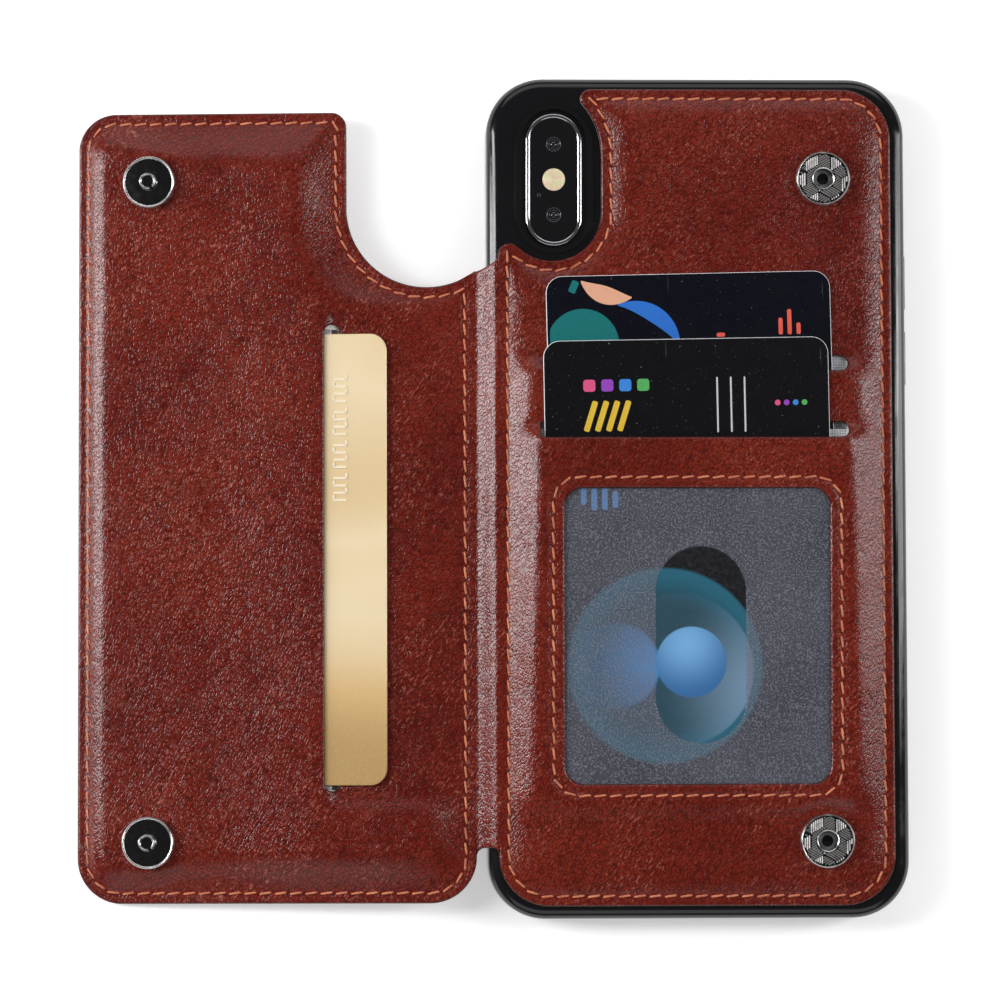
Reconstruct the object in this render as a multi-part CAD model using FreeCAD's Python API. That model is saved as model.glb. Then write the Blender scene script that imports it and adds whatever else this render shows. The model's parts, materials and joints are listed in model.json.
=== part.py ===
import FreeCAD, Part
import math
import os

os.makedirs("parts", exist_ok=True)

V = FreeCAD.Vector

# A phone case lies on its screen side with its wallet flap folded open to -X.
# All sizes are in mm. +Z is up, +Y points to the phone's top edge.
# Sizes are given from the shell's centre; origin_shift then puts the origin below the
# centre of the whole part.

# Shell and phone
SHELL_W, SHELL_L, SHELL_H, SHELL_R = 79.8, 159.8, 10.0, 10.8
SHELL_EDGE_R = 2.4
PHONE_W, PHONE_L, PHONE_H, PHONE_R = 77.3, 157.4, 7.7, 9.6
LIP_H = 1.2
CAVITY_GAP = 0.05
LIP_INSET = 1.3
GLASS_T = 0.8

# Camera
CAM_X, CAM_Y, CAM_W, CAM_L = -27.1, 60.3, 10.9, 25.5
CAM_PROUD = 1.5
COLLAR_W, COLLAR_L, COLLAR_H = 14.8, 28.2, 0.7
LENS_OFFSET, LENS_R, FLASH_R = 6.75, 2.6, 2.15

# Side keys: (name, side, centre y, length)
KEYS = [
    ("power_key_cover", -1, 34.0, 17.0),
    ("volume_up_key_cover", 1, 41.0, 10.5),
    ("volume_down_key_cover", 1, 26.5, 10.5),
]
KEY_Z, KEY_H, KEY_PROUD, KEY_T, KEY_GAP = 5.0, 3.2, 0.3, 1.05, 0.15

# Other side openings
MUTE_Y, MUTE_H = (52.0, 59.5), 4.0
PORT_W, PORT_H, CONNECTOR_W, CONNECTOR_H = 13.0, 5.2, 9.0, 2.8
SPEAKER_R, SPEAKER_X, SPEAKER_PITCH, SPEAKER_COUNT = 0.9, 12.0, 2.6, 6

# Leather panel on the shell's back
LEATHER = 0.75
LINING_T = 0.2
PANEL = (-37.9, -77.5, 37.1, 77.6)
PANEL_R = 9.6
NOTCH_LOW_C, NOTCH_LOW_R = (-27.4, 54.1), 9.3
NOTCH_UP_C, NOTCH_UP_R = (-32.6, 65.2), 14.5
TAB_R, TIP_R = 2.35, 1.8
MARGIN = 3.0
STITCH_INSET, STITCH_W, STITCH_H = 1.9, 0.6, 0.15
ZONE_TOP = 11.7
STRIP_TOP = (13.12, 13.30)
WINDOW_RAMP_Y = (-59.9, -57.6)
SLOT_X = (-30.5, 28.5)
SLOT_A_Y = (23.65, 26.5)
SLOT_B_Y = (10.9, 13.8)
WINDOW = (-25.4, -54.5, 24.7, 1.2)
WINDOW_R = 3.4
WINDOW_SEAM, WINDOW_SEAM_R = (-27.6, -56.7, 26.9, 3.3), 5.0
POCKET_X, POCKET_Y, POCKET_FOOT_Y = (-30.3, 28.3), (-57.4, 30.5), -45.0
BEVEL_X, BEVEL_LOW_Z, BEVEL_HIGH_Z = (-31.6, 29.8), 11.2, 15.4

# Cards
CARD_W, CARD_L, CARD_T, CARD_R = 53.98, 85.6, 0.8, 3.18
CARD_A_X, CARD_A_BOTTOM, CARD_A_TURN = -0.9, -43.45, 1.3
CARD_B_X, CARD_B_BOTTOM, CARD_B_TURN = -1.7, -56.0, 1.0
CARD_A_Z, CARD_A_RISE = 10.45, 0.0186
CARD_B_Z, CARD_B_RISE = 11.0, 0.0311
ID_CARD = (-27.35, -0.5, 26.65, 64.0)
ID_T = 0.3
FILM_T, FILM_TOP = 0.12, 1.41
WINDOW_LEATHER_UNDER = 1.42
THUMB_W, THUMB_L, THUMB_C = 17.0, 37.0, (0.25, 27.7)

# Snaps
SNAP_Y = (60.2, -65.3)
SOCKET_X, SOCKET_R, SOCKET_PROUD = 24.0, 5.15, 1.9
SOCKET_HOLE_R, MAGNET_R, MAGNET_T, MAGNET_HOLE_R = 1.95, 4.4, 0.55, 1.1
WASHER_R, WASHER_T = 4.5, 0.4
STUD_R, STUD_PROUD, POST_R, POST_HOLE_R, POST_L = 4.95, 1.9, 1.6, 1.1, 1.6
RIVET_R = 0.9

# Hinges and flap. Flap heights are measured from the hinge axes' level.
HINGE_X, HINGE_Z, SPINE_W = -38.0, 11.3, 4.3
FOLD_GAP = 0.05
FLAP_LEFT, FLAP_BOTTOM, FLAP_TOP = -118.2, -76.9, 73.8
FLAP_RIGHT = HINGE_X - SPINE_W
FLAP_R_TL, FLAP_R_BL, FLAP_R_BR, FLAP_R_EAR = 7.2, 8.6, 8.8, 3.0
FLAP_NOTCH_C, FLAP_NOTCH_R = (-51.5, 55.5), 15.4
FLAP_UNDER = -4.05
BOARD_T = 0.8
FLAP_LOW_TOP, FLAP_STUD_TOP, FLAP_SLOT_TOP, LEDGE_TOP = -2.3, -0.35, 0.3, -1.35
FLAP_LEFT_MARGIN, FLAP_FLAT_X = 2.3, -98.0
FLAP_SLOT = (-70.9, -55.7, -68.1, 32.8)
FLAP_CARD = (-113.0, -54.6)
FLAP_CARD_Z, FLAP_CARD_RISE, FLAP_CARD_REF = -1.3, 0.0235, -70.4
FLAP_POCKET = (-113.9, -55.5, FLAP_SLOT[2] + 0.3, 31.9)
SPINE_BOTTOM, SPINE_TOP_PANEL, SPINE_TOP_FLAP = -66.5, 44.7, 42.8

MIRROR_SHIFT = 2 * HINGE_X - SPINE_W
STUD_X = MIRROR_SHIFT - SOCKET_X


# ---------- helpers ----------

def line(a, b):
    return Part.LineSegment(V(a[0], a[1], 0), V(b[0], b[1], 0)).toShape()


def arc(centre, radius, start, end):
    """Arc in the XY plane from one angle to another, in degrees."""
    points = []
    for angle in (start, (start + end) / 2.0, end):
        rad = math.radians(angle)
        points.append(V(centre[0] + radius * math.cos(rad), centre[1] + radius * math.sin(rad), 0))
    return Part.Arc(*points).toShape()


def polar(centre, radius, angle):
    rad = math.radians(angle)
    return (centre[0] + radius * math.cos(rad), centre[1] + radius * math.sin(rad))


def rounded(box, radii):
    """Wire of a rectangle (x0, y0, x1, y1) with corner radii from bottom left, anticlockwise."""
    x0, y0, x1, y1 = box
    if not isinstance(radii, (tuple, list)):
        radii = (radii,) * 4
    corners = [(x0, y0, 180), (x1, y0, 270), (x1, y1, 0), (x0, y1, 90)]
    inward = [(1, 1), (-1, 1), (-1, -1), (1, -1)]
    arcs, ends = [], []
    for (cx, cy, angle), (sx, sy), radius in zip(corners, inward, radii):
        centre = (cx + sx * radius, cy + sy * radius)
        arcs.append(arc(centre, radius, angle, angle + 90))
        ends.append((polar(centre, radius, angle), polar(centre, radius, angle + 90)))
    edges = []
    for i in range(4):
        edges.append(arcs[i])
        edges.append(line(ends[i][1], ends[(i + 1) % 4][0]))
    return Part.Wire(edges)


def plate(wire, z0, z1):
    """Flat solid of a closed wire between two heights."""
    face = Part.Face(wire)
    face.translate(V(0, 0, z0))
    return face.extrude(V(0, 0, z1 - z0))


def rounded_plate(box, radii, z0, z1):
    return plate(rounded(box, radii), z0, z1)


def stadium(box, z0, z1):
    x0, y0, x1, y1 = box
    return rounded_plate(box, min(x1 - x0, y1 - y0) / 2.0 - 0.001, z0, z1)


def centred(x, y, width, length):
    return (x - width / 2.0, y - length / 2.0, x + width / 2.0, y + length / 2.0)


def grown(box, d):
    return (box[0] - d, box[1] - d, box[2] + d, box[3] + d)


def block(x0, y0, z0, x1, y1, z1):
    return Part.makeBox(x1 - x0, y1 - y0, z1 - z0, V(x0, y0, z0))


def rod(x, y, radius, z0, z1):
    return Part.makeCylinder(radius, z1 - z0, V(x, y, z0))


def profile_x(points, x0, x1):
    """Solid of a (y, z) polygon swept along X."""
    wire = Part.makePolygon([V(x0, y, z) for y, z in points + points[:1]])
    return Part.Face(wire).extrude(V(x1 - x0, 0, 0))


def profile_y(points, y0, y1):
    """Solid of an (x, z) polygon swept along Y."""
    wire = Part.makePolygon([V(x, y0, z) for x, z in points + points[:1]])
    return Part.Face(wire).extrude(V(0, y1 - y0, 0))


def ribbon(wire, inset, z):
    """Thin ring that follows a wire at an inset: a line of stitching."""
    outer = wire.makeOffset2D(-(inset - STITCH_W / 2.0))
    inner = wire.makeOffset2D(-(inset + STITCH_W / 2.0))
    return plate(outer, z, z + STITCH_H).cut(plate(inner, z - 1, z + 2))


# ---------- outlines ----------

def panel_wire():
    """Outline of the leather panel, with the camera notch in its upper left corner."""
    x0, y0, x1, y1 = PANEL
    tab_c = (x0 + TAB_R, NOTCH_LOW_C[1] - math.sqrt(
        (NOTCH_LOW_R + TAB_R) ** 2 - (NOTCH_LOW_C[0] - x0 - TAB_R) ** 2))
    tab_angle = math.degrees(math.atan2(NOTCH_LOW_C[1] - tab_c[1], NOTCH_LOW_C[0] - tab_c[0]))
    tip_y = y1 - TIP_R
    tip_c = (NOTCH_UP_C[0] + math.sqrt(
        (NOTCH_UP_R + TIP_R) ** 2 - (tip_y - NOTCH_UP_C[1]) ** 2), tip_y)
    tip_angle = math.degrees(math.atan2(tip_y - NOTCH_UP_C[1], tip_c[0] - NOTCH_UP_C[0]))
    corner = PANEL_R
    edges = [
        arc((x0 + corner, y0 + corner), corner, 180, 270),
        line((x0 + corner, y0), (x1 - corner, y0)),
        arc((x1 - corner, y0 + corner), corner, 270, 360),
        line((x1, y0 + corner), (x1, y1 - corner)),
        arc((x1 - corner, y1 - corner), corner, 0, 90),
        line((x1 - corner, y1), (tip_c[0], y1)),
        arc(tip_c, TIP_R, 90, 180 + tip_angle),
        arc(NOTCH_UP_C, NOTCH_UP_R, tip_angle, 0),
        line(polar(NOTCH_UP_C, NOTCH_UP_R, 0), polar(NOTCH_LOW_C, NOTCH_LOW_R, 0)),
        arc(NOTCH_LOW_C, NOTCH_LOW_R, 0, tab_angle - 180),
        arc(tab_c, TAB_R, tab_angle, 180),
        line((x0, tab_c[1]), (x0, y0 + corner)),
    ]
    return Part.Wire(edges)


def flap_wire():
    """Outline of the flap, with the round camera notch in its upper right corner."""
    cx, cy = FLAP_NOTCH_C
    ear_x = cx - FLAP_NOTCH_R
    end_angle = -math.degrees(math.acos((FLAP_RIGHT - cx) / FLAP_NOTCH_R))
    edges = [
        arc((FLAP_LEFT + FLAP_R_BL, FLAP_BOTTOM + FLAP_R_BL), FLAP_R_BL, 180, 270),
        line((FLAP_LEFT + FLAP_R_BL, FLAP_BOTTOM), (FLAP_RIGHT - FLAP_R_BR, FLAP_BOTTOM)),
        arc((FLAP_RIGHT - FLAP_R_BR, FLAP_BOTTOM + FLAP_R_BR), FLAP_R_BR, 270, 360),
        line((FLAP_RIGHT, FLAP_BOTTOM + FLAP_R_BR), polar((cx, cy), FLAP_NOTCH_R, end_angle)),
        arc((cx, cy), FLAP_NOTCH_R, end_angle, -180),
        line((ear_x, cy), (ear_x, FLAP_TOP - FLAP_R_EAR)),
        arc((ear_x - FLAP_R_EAR, FLAP_TOP - FLAP_R_EAR), FLAP_R_EAR, 0, 90),
        line((ear_x - FLAP_R_EAR, FLAP_TOP), (FLAP_LEFT + FLAP_R_TL, FLAP_TOP)),
        arc((FLAP_LEFT + FLAP_R_TL, FLAP_TOP - FLAP_R_TL), FLAP_R_TL, 90, 180),
        line((FLAP_LEFT, FLAP_TOP - FLAP_R_TL), (FLAP_LEFT, FLAP_BOTTOM + FLAP_R_BL)),
    ]
    return Part.Wire(edges)


# ---------- shell and phone ----------

def make_shell():
    outer = rounded_plate(centred(0, 0, SHELL_W, SHELL_L), SHELL_R, 0, SHELL_H)
    back_edges = [e for e in outer.Edges if e.BoundBox.ZMin > SHELL_H - 0.01]
    outer = outer.makeFillet(SHELL_EDGE_R, back_edges)
    gap = 2 * CAVITY_GAP
    cavity_box = centred(0, 0, PHONE_W + gap, PHONE_L + gap)
    cavity = rounded_plate(cavity_box, PHONE_R + CAVITY_GAP, LIP_H, LIP_H + PHONE_H)
    mouth = rounded_plate(grown(cavity_box, -LIP_INSET), PHONE_R - LIP_INSET, -1, LIP_H)
    collar = stadium(centred(CAM_X, CAM_Y, COLLAR_W, COLLAR_L), SHELL_H - 0.5, SHELL_H + COLLAR_H)
    camera_hole = stadium(centred(CAM_X, CAM_Y, CAM_W + 1.4, CAM_L + 1.4), LIP_H + 3, SHELL_H + 5)
    shell = outer.fuse(collar).cut(cavity.fuse([mouth, camera_hole]))
    for cut in shell_side_openings():
        shell = shell.cut(cut)
    return shell.removeSplitter()


def shell_side_openings():
    """Openings through the side walls: keys, mute switch, port and speakers."""
    cuts = []
    reach = SHELL_W / 2.0
    for _, side, y, length in KEYS:
        half_l, half_h = length / 2.0 + KEY_GAP, KEY_H / 2.0 + KEY_GAP
        x0, x1 = sorted((side * (reach - 2), side * (reach + 1)))
        cuts.append(block(x0, y - half_l, KEY_Z - half_h, x1, y + half_l, KEY_Z + half_h))
    cuts.append(block(reach - 2, MUTE_Y[0], KEY_Z - MUTE_H / 2.0, reach + 1, MUTE_Y[1], KEY_Z + MUTE_H / 2.0))
    bottom = -SHELL_L / 2.0
    cuts.append(block(-PORT_W / 2.0, bottom - 1, KEY_Z - PORT_H / 2.0, PORT_W / 2.0, bottom + 2,
                      KEY_Z + PORT_H / 2.0))
    for side in (-1, 1):
        for i in range(SPEAKER_COUNT):
            start = V(side * (SPEAKER_X + SPEAKER_PITCH * i), bottom - 1, KEY_Z)
            cuts.append(Part.makeCylinder(SPEAKER_R, 4, start, V(0, 1, 0)))
    return cuts


def make_phone():
    box = centred(0, 0, PHONE_W, PHONE_L)
    top = LIP_H + PHONE_H
    screen = rounded_plate(box, PHONE_R, LIP_H, LIP_H + GLASS_T)
    frame = rounded_plate(box, PHONE_R, LIP_H + GLASS_T, top - GLASS_T)
    port = stadium_y(0, -PHONE_L / 2.0, KEY_Z, CONNECTOR_W, CONNECTOR_H, 6.0)
    back = rounded_plate(box, PHONE_R, top - GLASS_T, top)
    return screen, frame.cut(port), back


def stadium_y(x, y, z, width, height, depth):
    """Stadium-shaped solid that runs along +Y from a side wall."""
    shape = stadium(centred(0, 0, width, height), 0, depth)
    shape.rotate(V(0, 0, 0), V(1, 0, 0), -90)
    shape.translate(V(x, y - 0.5, z))
    return shape


def make_camera():
    base = LIP_H + PHONE_H
    top = base + CAM_PROUD
    outline = centred(CAM_X, CAM_Y, CAM_W, CAM_L)
    inner = grown(outline, -1.0)
    ring = stadium(outline, base, top).cut(stadium(inner, base - 1, top + 1))
    glass = stadium(inner, top - 0.7, top - 0.1)
    lenses = [rod(CAM_X, CAM_Y + s * LENS_OFFSET, LENS_R, base, top - 0.7) for s in (-1, 1)]
    flash = rod(CAM_X, CAM_Y, FLASH_R, base, top - 0.7)
    return ring, glass, Part.makeCompound(lenses), flash


def make_key(side, y, length):
    outer_x = side * (SHELL_W / 2.0 + KEY_PROUD)
    x0, x1 = sorted((outer_x - side * KEY_T, outer_x))
    half_l, half_h = length / 2.0, KEY_H / 2.0
    key = block(x0, y - half_l, KEY_Z - half_h, x1, y + half_l, KEY_Z + half_h)
    along = [e for e in key.Edges if abs(e.BoundBox.XLength - KEY_T) < 0.01]
    return key.makeFillet(0.8, along)


# ---------- leather panel ----------

def zone_profile(drop):
    """(y, z) section of the padded panel's top, lowered by drop."""
    low = CARD_B_Z + WINDOW_LEATHER_UNDER + LEATHER
    slot_b_top = low + (SLOT_B_Y[0] - CARD_B_BOTTOM) * CARD_B_RISE
    points = [
        (PANEL[1] + MARGIN + drop, ZONE_TOP),
        (WINDOW_RAMP_Y[0], ZONE_TOP),
        (WINDOW_RAMP_Y[1], low + (WINDOW_RAMP_Y[1] - CARD_B_BOTTOM) * CARD_B_RISE),
        (SLOT_B_Y[0], slot_b_top),
        (SLOT_B_Y[1], STRIP_TOP[0]),
        (SLOT_A_Y[0], STRIP_TOP[1]),
        (SLOT_A_Y[1], ZONE_TOP),
        (PANEL[3] - MARGIN - drop, ZONE_TOP),
    ]
    floor = SHELL_H + LINING_T
    top = [(y, z - drop) for y, z in points]
    return [(points[0][0], floor)] + top + [(points[-1][0], floor)]


def zone_solid(drop):
    """Padded block inside the panel's stitched margin, with bevelled sides."""
    x0, y0, x1, y1 = grown(PANEL, -MARGIN - drop)
    floor = SHELL_H + LINING_T
    body = profile_x(zone_profile(drop), x0, x1)
    bevel = [(x0, floor), (x0, BEVEL_LOW_Z - drop), (BEVEL_X[0], BEVEL_HIGH_Z - drop),
             (BEVEL_X[1], BEVEL_HIGH_Z - drop), (x1, BEVEL_LOW_Z - drop), (x1, floor)]
    body = body.common(profile_y(bevel, y0 - 1, y1 + 1))
    body = body.common(rounded_plate((x0, y0, x1, y1), PANEL_R - MARGIN, floor, 20))
    notch_x = NOTCH_LOW_C[0] + NOTCH_LOW_R + MARGIN + drop
    notch_y = NOTCH_LOW_C[1] - NOTCH_LOW_R - MARGIN - drop
    radius = NOTCH_LOW_R + MARGIN + drop
    notch = rounded_plate((x0 - 40, notch_y, notch_x, y1 + 60), radius, 0, 30)
    return body.cut(notch)


def slot_cuts():
    return [stadium((SLOT_X[0], y0, SLOT_X[1], y1), 11.0, 20) for y0, y1 in (SLOT_A_Y, SLOT_B_Y)]


def card_plane(shape, rise, y, z, x=0.0, turn=0.0):
    """Move a shape made at z=0 with its lower edge at y=0 onto an inclined pocket plane."""
    shape.rotate(V(0, 0, 0), V(0, 0, 1), turn)
    shape.rotate(V(0, 0, 0), V(1, 0, 0), math.degrees(math.atan(rise)))
    shape.translate(V(x, y, z))
    return shape


def on_card_b(shape):
    return card_plane(shape, CARD_B_RISE, CARD_B_BOTTOM, CARD_B_Z)


def window_box(box):
    """A box given from the shell's centre, measured from card B's lower edge."""
    return (box[0], box[1] - CARD_B_BOTTOM, box[2], box[3] - CARD_B_BOTTOM)


def make_panel_leather():
    floor = SHELL_H + LINING_T
    flange = plate(panel_wire(), floor, floor + LEATHER)
    cavity = zone_solid(LEATHER)
    leather = flange.fuse(zone_solid(0)).cut(cavity)
    leather = leather.cut(slot_cuts()[0]).cut(slot_cuts()[1])
    leather = leather.cut(rounded_plate(WINDOW, WINDOW_R, 11.0, 20))
    for y in SNAP_Y:
        leather = leather.cut(rod(SOCKET_X, y, RIVET_R, 10.5, 12))
    return leather


def make_panel_padding():
    floor = SHELL_H + LINING_T
    cavity = zone_solid(LEATHER)
    liner_end = floor + 0.02
    y0, y1 = POCKET_Y
    pocket = profile_x([(y0, floor - 1), (y0, 20), (y1, 20), (y1, liner_end + 0.53),
                        (POCKET_FOOT_Y, liner_end - 0.02), (POCKET_FOOT_Y, floor - 1)], *POCKET_X)
    padding = cavity.cut(pocket)
    for y in SNAP_Y:
        padding = padding.cut(rod(SOCKET_X, y, WASHER_R + 0.1, floor - 1, 12))
    return padding


def make_liners():
    """Woven linings of the upper slot, the lower slot and the window pocket."""
    floor = SHELL_H + LINING_T
    x0, x1 = POCKET_X
    pocket = profile_x([(POCKET_FOOT_Y, floor), (30.0, floor + 0.55), (30.0, floor + 0.75),
                        (POCKET_FOOT_Y, floor + 0.2)], x0, x1)
    slot = profile_x([(-42.0, 11.31), (12.5, 12.36), (12.5, 12.46), (-42.0, 11.40)], x0, x1)
    window = on_card_b(rounded_plate((x0, -1.0, x1, 65.0), 1.0, 0.83, 0.93))
    return pocket, slot, window


def make_film():
    box = grown(window_box(WINDOW), 2.5)
    thumb = stadium(centred(THUMB_C[0], THUMB_C[1], THUMB_W, THUMB_L), 0, 5)
    return on_card_b(rounded_plate(box, 4.0, FILM_TOP - FILM_T, FILM_TOP).cut(thumb))


def make_window_stitching():
    wire = rounded(window_box(WINDOW_SEAM), WINDOW_SEAM_R)
    return on_card_b(ribbon(wire, 0.0, WINDOW_LEATHER_UNDER + LEATHER))


def make_cards():
    box = (-CARD_W / 2.0, 0, CARD_W / 2.0, CARD_L)
    upper = card_plane(rounded_plate(box, CARD_R, 0, CARD_T), CARD_A_RISE, CARD_A_BOTTOM, CARD_A_Z,
                       CARD_A_X + CARD_L / 2.0 * math.sin(math.radians(CARD_A_TURN)), CARD_A_TURN)
    lower = card_plane(rounded_plate(box, CARD_R, 0, CARD_T), CARD_B_RISE, CARD_B_BOTTOM, CARD_B_Z,
                       CARD_B_X + CARD_L / 2.0 * math.sin(math.radians(CARD_B_TURN)), CARD_B_TURN)
    insert = on_card_b(rounded_plate(ID_CARD, CARD_R, 0.96, 0.96 + ID_T))
    return upper, lower, insert


# ---------- snaps ----------

def make_socket(y):
    """Cap, magnet and washer of one female snap half."""
    x, low = SOCKET_X, ZONE_TOP
    cap = rod(x, y, SOCKET_R, low, low + SOCKET_PROUD)
    cap = cap.makeFillet(0.4, [e for e in cap.Edges if e.BoundBox.ZMin > low + SOCKET_PROUD - 0.01])
    cap = cap.cut(rod(x, y, SOCKET_HOLE_R, low - 1, low + 5))
    cap = cap.cut(rod(x, y, MAGNET_R, low - 1, low + MAGNET_T))
    magnet = rod(x, y, MAGNET_R, low, low + MAGNET_T).cut(rod(x, y, MAGNET_HOLE_R, low - 1, low + 5))
    under = low - LEATHER
    washer = rod(x, y, WASHER_R, under - WASHER_T, under).fuse(rod(x, y, RIVET_R, under, low))
    return cap, magnet, washer


def make_stud(y):
    """Disc, tubular post and washer of one male snap half, in the flat flap's frame."""
    x, low = STUD_X, FLAP_STUD_TOP
    top = low + STUD_PROUD
    disc = rod(x, y, STUD_R, low, top)
    disc = disc.makeFillet(0.5, [e for e in disc.Edges if e.BoundBox.ZMin > top - 0.01])
    disc = disc.cut(rod(x, y, POST_R, top - 0.6, top + 1))
    post = rod(x, y, POST_R, top - 0.6, top + POST_L)
    post = post.makeFillet(0.25, [e for e in post.Edges if e.BoundBox.ZMin > top + POST_L - 0.01])
    post = post.cut(rod(x, y, POST_HOLE_R, top + POST_L - 1.2, top + POST_L + 1))
    under = low - LEATHER
    washer = rod(x, y, WASHER_R, under - WASHER_T, under).fuse(rod(x, y, RIVET_R, under, low))
    return disc, post, washer


# ---------- flap and spine, made flat at the hinge level ----------

def flap_profile(drop):
    """(x, z) section of the flap's padded top, lowered by drop."""
    floor = FLAP_UNDER + LEATHER
    left, right = FLAP_LEFT + FLAP_LEFT_MARGIN + drop, FLAP_RIGHT - MARGIN - drop
    points = [
        (left, FLAP_LOW_TOP),
        (left + 1.1, -0.6),
        (left + 3.5, FLAP_STUD_TOP),
        (FLAP_FLAT_X, FLAP_STUD_TOP),
        (FLAP_SLOT[0], FLAP_SLOT_TOP),
        (FLAP_SLOT[2], LEDGE_TOP),
        (right - 1.8, LEDGE_TOP),
        (right, FLAP_LOW_TOP),
    ]
    return [(left, floor)] + [(x, z - drop) for x, z in points] + [(right, floor)]


def flap_zone(drop):
    """Padded block inside the flap's stitched margin."""
    y0, y1 = FLAP_BOTTOM + MARGIN + drop, FLAP_TOP - MARGIN - drop
    floor = FLAP_UNDER + LEATHER
    body = profile_y(flap_profile(drop), y0, y1)
    bevel = [(y0, floor), (y0, FLAP_LOW_TOP - drop), (y0 + 2.4, 0.5 - drop), (y1 - 2.4, 0.5 - drop),
             (y1, FLAP_LOW_TOP - drop), (y1, floor)]
    body = body.common(profile_x(bevel, FLAP_LEFT, FLAP_RIGHT))
    box = (FLAP_LEFT + FLAP_LEFT_MARGIN + drop, y0, FLAP_RIGHT - MARGIN - drop, y1)
    body = body.common(rounded_plate(box, FLAP_R_BL - MARGIN, floor, 5))
    cx, cy = FLAP_NOTCH_C
    radius = FLAP_NOTCH_R + MARGIN + drop
    notch = rod(cx, cy, radius, -10, 10).fuse(block(cx - radius, cy, -10, cx + 40, cy + 40, 10))
    return body.cut(notch)


def flap_card_plane(x0, x1, z0, z1, y0, y1):
    """Slab parallel to the flap's card, its heights measured from the card's underside."""
    def height(x):
        return FLAP_CARD_Z + (x - FLAP_CARD_REF) * FLAP_CARD_RISE
    return profile_y([(x0, height(x0) + z0), (x1, height(x1) + z0),
                      (x1, height(x1) + z1), (x0, height(x0) + z1)], y0, y1)


def make_flap():
    wire = flap_wire()
    floor = FLAP_UNDER + LEATHER
    outer = plate(wire, FLAP_UNDER, floor)
    cavity = flap_zone(LEATHER)
    flange = plate(wire, floor, floor + LEATHER)
    inner = flange.fuse(flap_zone(0)).cut(cavity).cut(stadium(FLAP_SLOT, -2.2, 5))
    board = cavity.common(block(-200, -200, floor, 0, 200, floor + BOARD_T))
    x0, y0, x1, y1 = FLAP_POCKET
    padding = cavity.cut(block(-200, -200, -10, 0, 200, floor + BOARD_T))
    pocket = flap_card_plane(x0, x1, -0.18, 5, y0, y1)
    padding = padding.cut(pocket)
    liner = flap_card_plane(x0 + 0.3, FLAP_SLOT[2] - 1.5, -0.18, -0.03, y0, y1)
    for y in SNAP_Y:
        hole = rod(STUD_X, y, WASHER_R + 0.1, floor + BOARD_T - 0.1, 2)
        padding = padding.cut(hole)
        inner = inner.cut(rod(STUD_X, y, RIVET_R, -2, 2))
    stitching = ribbon(wire, STITCH_INSET - 0.1, floor + LEATHER)
    return outer, inner, board, padding, liner, stitching


def make_flap_card():
    """Embossed metallic card, tilted to slide out over the ledge."""
    x0, y0 = FLAP_CARD
    card = rounded_plate((0, 0, CARD_W, CARD_L), CARD_R, 0, CARD_T)
    card.rotate(V(0, 0, 0), V(0, 1, 0), -math.degrees(math.atan(FLAP_CARD_RISE)))
    card.translate(V(x0, y0, FLAP_CARD_Z + (x0 - FLAP_CARD_REF) * FLAP_CARD_RISE))
    return card


def make_spine():
    """Leather strip that steps down from the panel's edge to the flap's edge."""
    x1, x0 = HINGE_X - FOLD_GAP, FLAP_RIGHT + FOLD_GAP
    section = [(x1, -0.35), (x1, -1.1), (x0, -3.4), (x0, -2.6)]
    strip = profile_y(section, SPINE_BOTTOM, SPINE_TOP_PANEL)
    trim = Part.Face(Part.makePolygon([
        V(x1 + 1, SPINE_TOP_PANEL, -9), V(x0 - 1, SPINE_TOP_FLAP - 0.4, -9),
        V(x0 - 1, 60, -9), V(x1 + 1, 60, -9), V(x1 + 1, SPINE_TOP_PANEL, -9)])).extrude(V(0, 0, 18))
    return strip.cut(trim)


# ---------- assembly ----------

def flap_droop():
    """Angle by which the open flap leans down to the floor, in degrees."""
    reach = HINGE_X - FLAP_LEFT
    return math.degrees(math.asin(HINGE_Z / math.hypot(reach, FLAP_UNDER))
                        - math.atan2(-FLAP_UNDER, reach))


def hang(shape):
    """Put a flat flap part at the hinge and lean it down to the floor."""
    shape.translate(V(0, 0, HINGE_Z))
    shape.rotate(V(HINGE_X, 0, HINGE_Z), V(0, 1, 0), -flap_droop())
    return shape


def build():
    parts = {"shell": make_shell()}
    names = ("phone_screen", "phone_frame", "phone_back_glass")
    parts.update(zip(names, make_phone()))
    names = ("camera_trim_ring", "camera_cover_glass", "camera_lenses", "camera_flash")
    parts.update(zip(names, make_camera()))
    for name, side, y, length in KEYS:
        parts[name] = make_key(side, y, length)
    lining = plate(panel_wire(), SHELL_H, SHELL_H + LINING_T)
    collar_room = stadium(centred(CAM_X, CAM_Y, COLLAR_W + 0.2, COLLAR_L + 0.2), 9, 12)
    parts["back_lining"] = lining.cut(collar_room)
    parts["back_panel_leather"] = make_panel_leather()
    parts["back_padding"] = make_panel_padding()
    parts.update(zip(("pocket_liner", "slot_liner", "window_liner"), make_liners()))
    parts["window_film"] = make_film()
    top = SHELL_H + LINING_T + LEATHER
    parts["back_panel_stitching"] = ribbon(panel_wire(), STITCH_INSET, top)
    parts["window_stitching"] = make_window_stitching()
    parts.update(zip(("card_upper", "card_lower", "window_id_card"), make_cards()))
    for place, y in zip(("upper", "lower"), SNAP_Y):
        for name, shape in zip(("cap", "magnet", "washer"), make_socket(y)):
            parts["socket_%s_%s" % (name, place)] = shape
        for name, shape in zip(("disc", "post", "washer"), make_stud(y)):
            parts["stud_%s_%s" % (name, place)] = hang(shape)
    names = ("flap_outer_leather", "flap_inner_leather", "flap_board", "flap_padding",
             "flap_pocket_liner", "flap_stitching")
    for name, shape in zip(names, make_flap()):
        parts[name] = hang(shape)
    parts["flap_card"] = hang(make_flap_card())
    parts["spine_leather"] = hang(make_spine())
    return parts


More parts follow.
